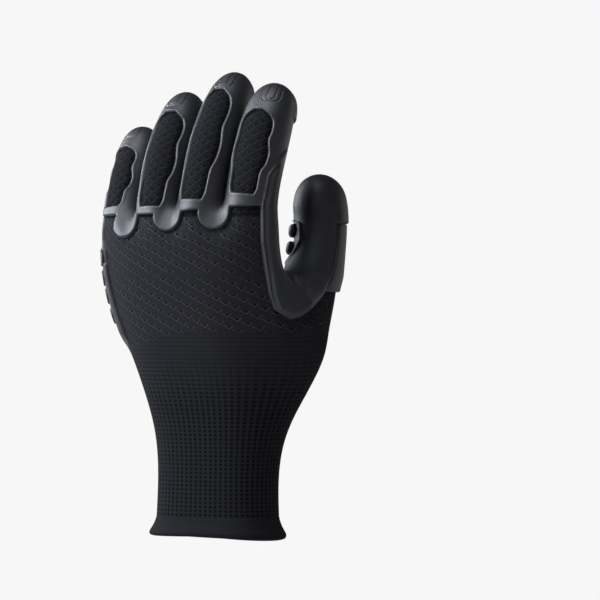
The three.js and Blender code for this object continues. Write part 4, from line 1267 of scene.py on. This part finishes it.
def knit():
    finish = Finish("knit")
    u, v = finish.wales()
    beside, _, height_up = finish.place()
    leftward = finish.maths("MINIMUM", beside / HAND_HALF, 0)
    on_back = (height_up + leftward ** 2 * SCALES_DROP).step(*SCALES_FROM)
    window = height_up.step(*WINDOWS_FROM)
    scale = Scale(*(back + window * (bare - back) for back, bare in zip(BACK_SCALE, WINDOW_SCALE)))

    across, upward = abs(u.fraction() - 0.5), abs((v / HOLE_PITCH).fraction() - 0.5)
    square = (across / HOLE_HALF_WIDTH) ** HOLE_SQUARENESS + (upward / HOLE_HALF_HEIGHT) ** HOLE_SQUARENESS
    holes = (1 - square.step(*HOLE_EDGE)) * (1 - height_up.step(*HOLES_FADE))
    plain = (v + HOLE_PITCH / 4).wave(HOLE_PITCH) * height_up.step(*ROWS_FROM) * (1 - on_back)

    row = (v - u * scale.slant) / scale.pitch
    rising = (row + u / 2 + scale.rise_below).fraction() - scale.rise_below
    falling = (row - u / 2 + scale.fall_below).fraction() - scale.fall_below
    x = (rising - falling) * scale.wale
    y = (rising + falling) * scale.pitch / 2 + x * scale.slant / scale.wale
    left, right = finish.maths("MAXIMUM", 0 - x, 0), finish.maths("MAXIMUM", x, 0)
    over = y - left * scale.left_slope - right * scale.slope
    ends = (1 - (right / scale.reach).step(*RIGHT_END)) * (1 - left.step(*LEFT_END))
    scaly = 1 - v.band(*PLAIN_BAND)
    arms = (1 - abs(over).step(*ARM_EDGE)) * ends * on_back * (scaly * (1 - ARMS_LEFT) + ARMS_LEFT)
    hatch = (over + x * x * HATCH_BOW).wave(HATCH_PITCH) * on_back
    notch_x = x - scale.notch_x
    notch_y = y - scale.notch_y - abs(notch_x) * NOTCH_BEND
    oval = (notch_x / NOTCH_HALF_WIDTH) ** 2 + (notch_y / NOTCH_HALF_HEIGHT) ** 2
    notch = (1 - oval.step(*NOTCH_EDGE)) * on_back * scaly * scale.notch_depth

    relief, light = (
        arms * stitches.arms + hatch * stitches.hatch + plain * stitches.rows
        for stitches in (STITCH_RELIEF, STITCH_LIGHT)
    )
    relief = relief - notch - holes * HOLE_DEPTH + finish.noise(KNIT_FUZZ_SIZE) * KNIT_FUZZ
    # The knit on the bare backs of the fingers is painted darker and its light stitches dimmer, as painted
    # shade.
    shade = finish.mix(window, grey(KNIT_SHADE), grey(KNIT_WINDOW_SHADE))
    cloth = finish.mix(light * scale.lightness, shade, grey(KNIT_LIGHT))
    # The holes and the notches are painted near black, as painted shade in their hollows.
    cloth = finish.mix(finish.maths("MAXIMUM", notch, holes) * HOLLOW_SHADE_SHARE, cloth, grey(KNIT_HOLLOW_SHADE))
    return finish.surface(cloth, CLOTH_ROUGH, finish.bump(relief, KNIT_DEPTH), CLOTH_SHINE)


HEM_PITCH = 1.1
HEM_FUZZ_SIZE = 0.5
HEM_ROWS = 0.4  # their share of the relief
HEM_DEPTH = 0.25
HEM_DARK, HEM_LIGHT = 0.006, 0.01


def hem_knit():
    finish = Finish("hem_knit")
    rows, fuzz = finish.place()[2].wave(HEM_PITCH), finish.noise(HEM_FUZZ_SIZE)
    normal = finish.bump(rows * HEM_ROWS + fuzz * (1 - HEM_ROWS), HEM_DEPTH)
    cloth = finish.mix(fuzz, grey(HEM_DARK), grey(HEM_LIGHT))
    return finish.surface(cloth, CLOTH_ROUGH, normal, CLOTH_SHINE)


# The coat, with short diagonal strokes on the guard beside the thumb
STROKE_PITCH = 1.65
STROKE_HEIGHT = 0.3
STROKE_LEAN = 0.5
STROKES_ACROSS, STROKES_UP = Band(36, 57, 1.5), Band(138, 142.5, 0.7)
STROKES_END = (16, 22)
STROKES_TILT, TILT_FROM = 0.15, 35
COAT_GRAIN_SIZE = 0.6
COAT_GRAIN = 0.05
COAT_SHADE, GUARD_SHADE = 0.008, 0.004
COAT_ROUGH, ROUGH_BY_GRAIN, ROUGH_BY_GUARD = 0.45, 0.12, 0.14
COAT_SHINE = 0.4


def coat_rubber():
    finish = Finish("coat_rubber")
    x, y, z = finish.place()
    across = x * GUARD_ACROSS.x + y * GUARD_ACROSS.y
    row = z - (across - TILT_FROM) * STROKES_TILT
    stroked = across.band(*STROKES_ACROSS) * row.band(*STROKES_UP) * (1 - y.step(*STROKES_END))
    strokes = (across + row * STROKE_LEAN).wave(STROKE_PITCH) * stroked
    grain, guard = finish.noise(COAT_GRAIN_SIZE), finish.attribute("guard")
    normal = finish.bump(grain * COAT_GRAIN + strokes * STROKE_HEIGHT, 1)
    colour = finish.mix(guard, grey(COAT_SHADE), grey(GUARD_SHADE))
    roughness = COAT_ROUGH + grain * ROUGH_BY_GRAIN + guard * ROUGH_BY_GUARD
    return finish.surface(colour, roughness, normal, COAT_SHINE)


# Rubber with fine slanting lines, whose share of the relief is given; the rest is grain
Lined = namedtuple("Lined", "by_x by_y pitch share depth shade rough shine")
MOULDED = Lined(0.5, 0.5, 0.9, 0.3, 0.1, 0.007, 0.45, 0.28)
# The damping pads are painted about twice as light as the coat, as painted fill light on their sides that
# face away from the lamps.
DAMPING_PAINTED_FILL = Lined(0.6, 0, 0.8, 0.6, 0.12, 0.016, 0.5, 0.5)
LINED_GRAIN_SIZE = 0.5
LINED_ROUGH_BY_GRAIN = 0.15


def lined_rubber(name, look):
    finish = Finish(name)
    x, y, z = finish.place()
    lines, grain = (z + x * look.by_x + y * look.by_y).wave(look.pitch), finish.noise(LINED_GRAIN_SIZE)
    normal = finish.bump(lines * look.share + grain * (1 - look.share), look.depth)
    return finish.surface(grey(look.shade), look.rough + grain * LINED_ROUGH_BY_GRAIN, normal, look.shine)


# The glove
def dress(piece, material, slot, *nodes):
    piece.data.materials.clear()
    piece.data.materials.append(material)
    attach(piece, "root")
    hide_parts(*nodes)


KNIT, HEM, COAT = knit(), hem_knit(), coat_rubber()
MOULDING, DAMPER = lined_rubber("moulded_rubber", MOULDED), lined_rubber("damper_rubber_painted_fill", DAMPING_PAINTED_FILL)
LINER_NODES = [f"liner_{part}" for part in ("cuff", "hand", *(finger.name for finger in FINGERS), "thumb")]
dress(knitted_liner(), KNIT, "knit", *LINER_NODES)
dress(cuff_hem(), HEM, "hem", "cuff_hem")
dress(rubber_coat(), COAT, "coat", "rubber_coat", "web_guard")
cap = thumb_moulding("moulded_thumb_cap", "cap", CAP_LINES, cap_height)
dress(cap, MOULDING, "moulding", "thumb_cap")
panel = thumb_moulding("moulded_thumb_panel", "panel", PANEL_LINES, panel_height)
dress(panel, MOULDING, "moulding", "thumb_panel")
for number, finger in enumerate(FINGERS):
    dress(tip_pad(number), MOULDING, "moulding", f"{finger.name}_tip_pad")
for node, pad in ribs_and_pads():
    dress(pad, DAMPER, "damper", node)


# The studio
FLOOR_HEIGHT = -0.25
FLOOR_RADIUS = 0.9
FLOOR_POINTS = 96
FLOOR_GRAIN = 0.5
FLOOR_DEPTH = 0.01
FLOOR_WHITE = 0.8
FLOOR_ROUGH = 0.9
FLOOR_SHINE = 0.5


def pale_floor():
    bpy.ops.mesh.primitive_circle_add(
        vertices=FLOOR_POINTS, radius=FLOOR_RADIUS, fill_type="NGON", location=(0, 0, FLOOR_HEIGHT)
    )
    floor = named(bpy.context.object, "studio_floor")
    finish = Finish("pale_floor")
    normal = finish.bump(finish.noise(FLOOR_GRAIN), FLOOR_DEPTH)
    floor.data.materials.append(finish.surface(grey(FLOOR_WHITE, 1), FLOOR_ROUGH, normal, FLOOR_SHINE))


LAMP_TINT = (0.84, 0.89, 1)
Lamp = namedtuple("Lamp", "name across toward height size power")
LAMPS = [  # metres beside, behind and above the middle of the glove, as the camera sees it
    Lamp("top_light", -0.25, -0.35, 0.8, 0.5, 9),
    Lamp("left_light", -0.75, -0.1, 0.4, 0.45, 19),
    Lamp("left_rim_light", -0.7, 0.5, 0.3, 0.45, 8),
    Lamp("right_light", 1.2, 0.6, 0.3, 0.7, 1.5),
]


def studio_lights():
    turn = Matrix.Rotation(CAMERA_AZIMUTH, 3, "Z")
    middle = Vector((0, 0, CAMERA_HEIGHT))
    for lamp in LAMPS:
        data = bpy.data.lights.new(lamp.name, "AREA")
        data.shape = "SQUARE"
        data.size = lamp.size
        data.energy = lamp.power
        data.color = LAMP_TINT
        light = linked(lamp.name, data)
        light.location = middle + turn @ Vector((lamp.across, lamp.toward, lamp.height))
        light.rotation_euler = (middle - light.location).to_track_quat("-Z", "Y").to_euler()


WORLD_WHITE = 0.93
WORLD_DIM = 0.1
WORLD_FADE = (0.1, 0.2)


def pale_world():
    """White near the horizon, all round, and dimmer above and below it."""
    world = bpy.data.worlds.new("studio")
    world.use_nodes = True
    bpy.context.scene.world = world
    nodes = Nodes(world.node_tree)
    way = nodes.node("ShaderNodeTexCoord", {}, {}, "Generated")
    level = abs(nodes.node("ShaderNodeSeparateXYZ", {}, {0: way}, "Z"))
    strength = WORLD_WHITE + level.step(*WORLD_FADE) * (WORLD_DIM - WORLD_WHITE)
    background = nodes.tree.nodes["Background"]
    background.inputs["Color"].default_value = (1, 1, 1, 1)
    nodes.tree.links.new(strength.socket, background.inputs["Strength"])


pale_floor()
studio_lights()
pale_world()
bpy.context.scene.view_settings.view_transform = "Standard"
